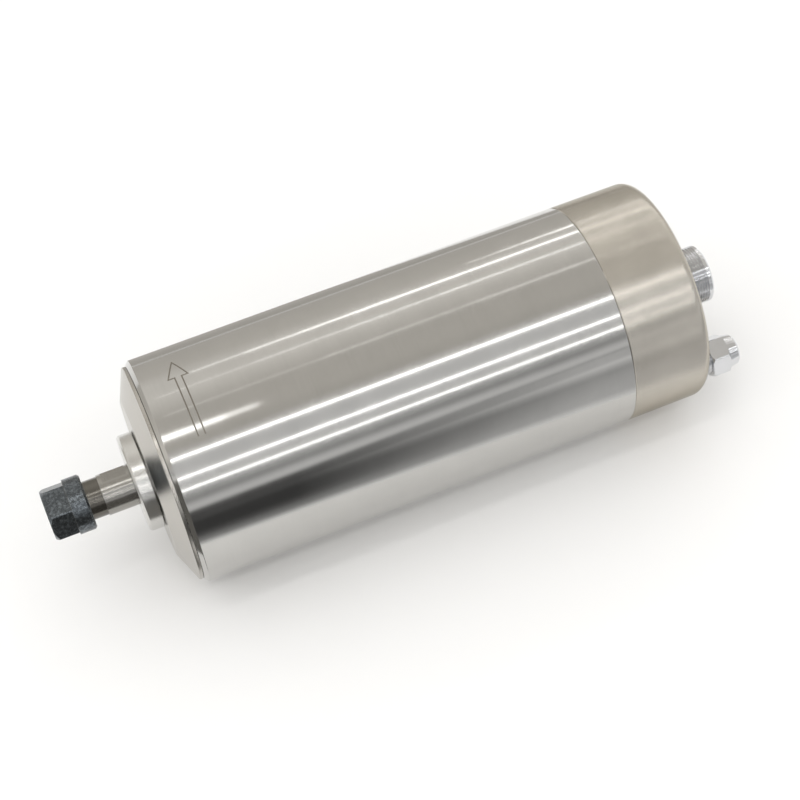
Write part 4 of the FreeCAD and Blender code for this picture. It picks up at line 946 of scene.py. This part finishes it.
def build_reflection_card(name, corners):
    """A flat card just over the floor, which only shiny surfaces see: it glows, though it is no lamp, to
    paint a reflection in the metal. Its glow has no colour yet.
    """
    # Painted reflection: the card glows at a set level instead of being lit, and only shiny surfaces see it
    material, tree = empty_material(f"Paper, {name.replace('_', ' ')}")
    glow = add_node(tree, "ShaderNodeEmission", {"Strength": 1.0})
    add_node(tree, "ShaderNodeOutputMaterial", links={"Surface": glow.outputs["Emission"]})
    card = build_sheet(name, corners, floor_height() + CARD_LIFT, material)
    card.visible_camera = False
    card.visible_diffuse = False
    card.visible_shadow = False
    card.visible_transmission = False
    card.visible_volume_scatter = False
    return tree, glow.inputs["Color"]


def build_dark_card():
    """A dark card low in front, whose glow paints the tube's dark band as a reflection.

    It is darkest near the nose and pales towards the rear, and a light line runs along it, a painted light
    line in that reflection. Its near edge runs at a slant.
    """
    left, right = 0.0, 2.0
    edge_left, edge_right = -0.089, 0.231
    slant = (edge_right - edge_left) / (right - left)
    tree, glow = build_reflection_card("dark_card", [
        (left, CARD_END), (right, CARD_END), (right, edge_right), (left, edge_left)])
    parts = coordinates(tree)
    edge = calculate(tree, "MULTIPLY_ADD", parts["X"], slant, edge_left - slant * left)
    depth = calculate(tree, "SUBTRACT", edge, parts["Y"])
    # Painted reflection: the card's glow, read from these levels, is what the tube mirrors as its dark band
    # and the light line beside it
    dark, pale = (ramp(tree, depth, [(distance, (level,) * 3) for distance, level in levels])
                  for levels in (DARK_LEVELS, PALE_LEVELS))
    # The rays from the tube's two ends spread to the right as they travel: the x at which the left ones
    # arrive, how far to the right the others do, and how both grow with the distance
    arrival, arrival_growth, width, width_growth = 0.041, 0.107, 0.11, 0.165
    shift = calculate(tree, "MULTIPLY_ADD", depth, arrival_growth, arrival)
    along = calculate(tree, "SUBTRACT", parts["X"], shift)
    room = calculate(tree, "MULTIPLY_ADD", depth, width_growth, width)
    share = add_node(tree, "ShaderNodeMath", {"operation": "DIVIDE", "use_clamp": True}, {0: along, 1: room})
    mixed = add_node(tree, "ShaderNodeMix", {"data_type": "RGBA"}, {
        0: share.outputs[0], 6: dark.outputs["Color"], 7: pale.outputs["Color"]})
    tree.links.new(mixed.outputs[2], glow)


def build_plain_cards():
    """A dark card beside the nose and a grey one behind the tube's front half, each glowing at one tone:
    painted reflections, dark in the metal round the nose and grey on the back of the tube and cover.
    """
    for name, corners, level in PLAIN_CARDS:
        _, glow = build_reflection_card(name, corners)
        glow.default_value = lamplit(level)


# The camera that was fitted to the photograph's outline: focal length for a 36 mm wide sensor, its own
# axes, and its place in millimetres
CAMERA_LENS = 86.18
CAMERA_RIGHT = (0.922962, -0.361316, -0.132634)
CAMERA_UP = (0.345414, 0.625541, 0.699563)
CAMERA_BACK = (-0.169795, -0.691482, 0.702154)
CAMERA_PLACE = (-29.484, -464.97, 464.97)


def build_camera():
    """The camera stands where the photograph was taken."""
    data = bpy.data.cameras.new("Camera")
    data.sensor_width = 36.0
    data.lens = CAMERA_LENS
    data.clip_start = 0.01
    data.clip_end = 50.0
    camera = add_object("Camera", data)
    set_axes(camera, CAMERA_RIGHT, CAMERA_UP, CAMERA_BACK, Vector(CAMERA_PLACE) * MM)
    bpy.context.scene.camera = camera


def build_stage():
    """The camera, the room, the floor, the cards and the lights."""
    bpy.context.scene.view_settings.view_transform = "Standard"
    build_camera()
    build_world()
    build_floor()
    build_dark_card()
    build_plain_cards()
    for strip in STRIPS:
        fading_strip(*strip)


# Operators and panel

class UndoableStep:
    """What the steps share: each stands in the log and can be undone."""
    bl_options = {"REGISTER", "UNDO"}


class SPINDLE_OT_body_tube(UndoableStep, bpy.types.Operator):
    """Build the polished tube of the body"""
    bl_idname = "spindle.body_tube"
    bl_label = "Body Tube"

    def execute(self, context):
        build_body_tube()
        return {"FINISHED"}


class SPINDLE_OT_front_bell(UndoableStep, bpy.types.Operator):
    """Build the coned front end"""
    bl_idname = "spindle.front_bell"
    bl_label = "Front Bell"

    def execute(self, context):
        build_front_bell()
        return {"FINISHED"}


class SPINDLE_OT_dust_cap(UndoableStep, bpy.types.Operator):
    """Build the turned cap in front of the bearings"""
    bl_idname = "spindle.dust_cap"
    bl_label = "Dust Cap"

    def execute(self, context):
        build_dust_cap()
        return {"FINISHED"}


class SPINDLE_OT_shaft(UndoableStep, bpy.types.Operator):
    """Build the shaft with its wrench flats and nose thread"""
    bl_idname = "spindle.shaft"
    bl_label = "Shaft"

    def execute(self, context):
        build_shaft()
        return {"FINISHED"}


class SPINDLE_OT_collet_nut(UndoableStep, bpy.types.Operator):
    """Build the black collet nut"""
    bl_idname = "spindle.collet_nut"
    bl_label = "Collet Nut"

    def execute(self, context):
        build_collet_nut()
        return {"FINISHED"}


class SPINDLE_OT_rear_cover(UndoableStep, bpy.types.Operator):
    """Build the cover with its rounded rim and screw recesses"""
    bl_idname = "spindle.rear_cover"
    bl_label = "Rear Cover"

    def execute(self, context):
        build_rear_cover()
        return {"FINISHED"}


class SPINDLE_OT_cover_screws(UndoableStep, bpy.types.Operator):
    """Build the four socket head screws of the cover"""
    bl_idname = "spindle.cover_screws"
    bl_label = "Cover Screws"

    def execute(self, context):
        build_cover_screws()
        return {"FINISHED"}


class SPINDLE_OT_connector(UndoableStep, bpy.types.Operator):
    """Build the threaded shell of the connector"""
    bl_idname = "spindle.connector"
    bl_label = "Connector"

    def execute(self, context):
        build_connector()
        return {"FINISHED"}


class SPINDLE_OT_fittings(UndoableStep, bpy.types.Operator):
    """Build both hose fittings with their union nuts"""
    bl_idname = "spindle.fittings"
    bl_label = "Hose Fittings"

    def execute(self, context):
        build_fittings()
        return {"FINISHED"}


class SPINDLE_OT_arrow(UndoableStep, bpy.types.Operator):
    """Build the marked arrow that shows the direction of rotation"""
    bl_idname = "spindle.arrow"
    bl_label = "Direction Arrow"

    def execute(self, context):
        build_arrow()
        return {"FINISHED"}


class SPINDLE_OT_inner_pieces(UndoableStep, bpy.types.Operator):
    """Give the pieces inside their finishes"""
    bl_idname = "spindle.inner_pieces"
    bl_label = "Inner Pieces"

    def execute(self, context):
        build_inner_pieces()
        return {"FINISHED"}


class SPINDLE_OT_stage(UndoableStep, bpy.types.Operator):
    """Build the floor, the lights and the camera"""
    bl_idname = "spindle.stage"
    bl_label = "Studio"

    def execute(self, context):
        build_stage()
        return {"FINISHED"}


OPERATORS = (
    SPINDLE_OT_body_tube, SPINDLE_OT_front_bell, SPINDLE_OT_dust_cap, SPINDLE_OT_shaft,
    SPINDLE_OT_collet_nut, SPINDLE_OT_rear_cover, SPINDLE_OT_cover_screws, SPINDLE_OT_connector,
    SPINDLE_OT_fittings, SPINDLE_OT_arrow, SPINDLE_OT_inner_pieces, SPINDLE_OT_stage,
)


class SPINDLE_PT_main(bpy.types.Panel):
    """Sizes, colours and the steps that build the spindle"""
    bl_idname = "SPINDLE_PT_main"
    bl_label = "Motor Spindle"
    bl_space_type = "VIEW_3D"
    bl_region_type = "UI"
    bl_category = "Spindle"

    def draw(self, context):
        groups = context.scene.spindle
        for group in (groups.sizes, groups.colours):
            box = self.layout.box()
            for name in group.__annotations__:
                box.prop(group, name)
        for operator in OPERATORS:
            self.layout.operator(operator.bl_idname)


CLASSES = (SpindleSizes, SpindleColours, SpindleSettings, *OPERATORS, SPINDLE_PT_main)


def register():
    for entry in CLASSES:
        bpy.utils.register_class(entry)
    bpy.types.Scene.spindle = PointerProperty(type=SpindleSettings)


def unregister():
    del bpy.types.Scene.spindle
    for entry in reversed(CLASSES):
        bpy.utils.unregister_class(entry)


def main():
    """Builds everything in order."""
    register()
    make_finishes(settings().colours)
    bpy.ops.spindle.body_tube()
    bpy.ops.spindle.front_bell()
    bpy.ops.spindle.dust_cap()
    bpy.ops.spindle.shaft()
    bpy.ops.spindle.collet_nut()
    bpy.ops.spindle.rear_cover()
    bpy.ops.spindle.cover_screws()
    bpy.ops.spindle.connector()
    bpy.ops.spindle.fittings()
    bpy.ops.spindle.arrow()
    bpy.ops.spindle.inner_pieces()
    bpy.ops.spindle.stage()


if __name__ == "__main__":
    main()
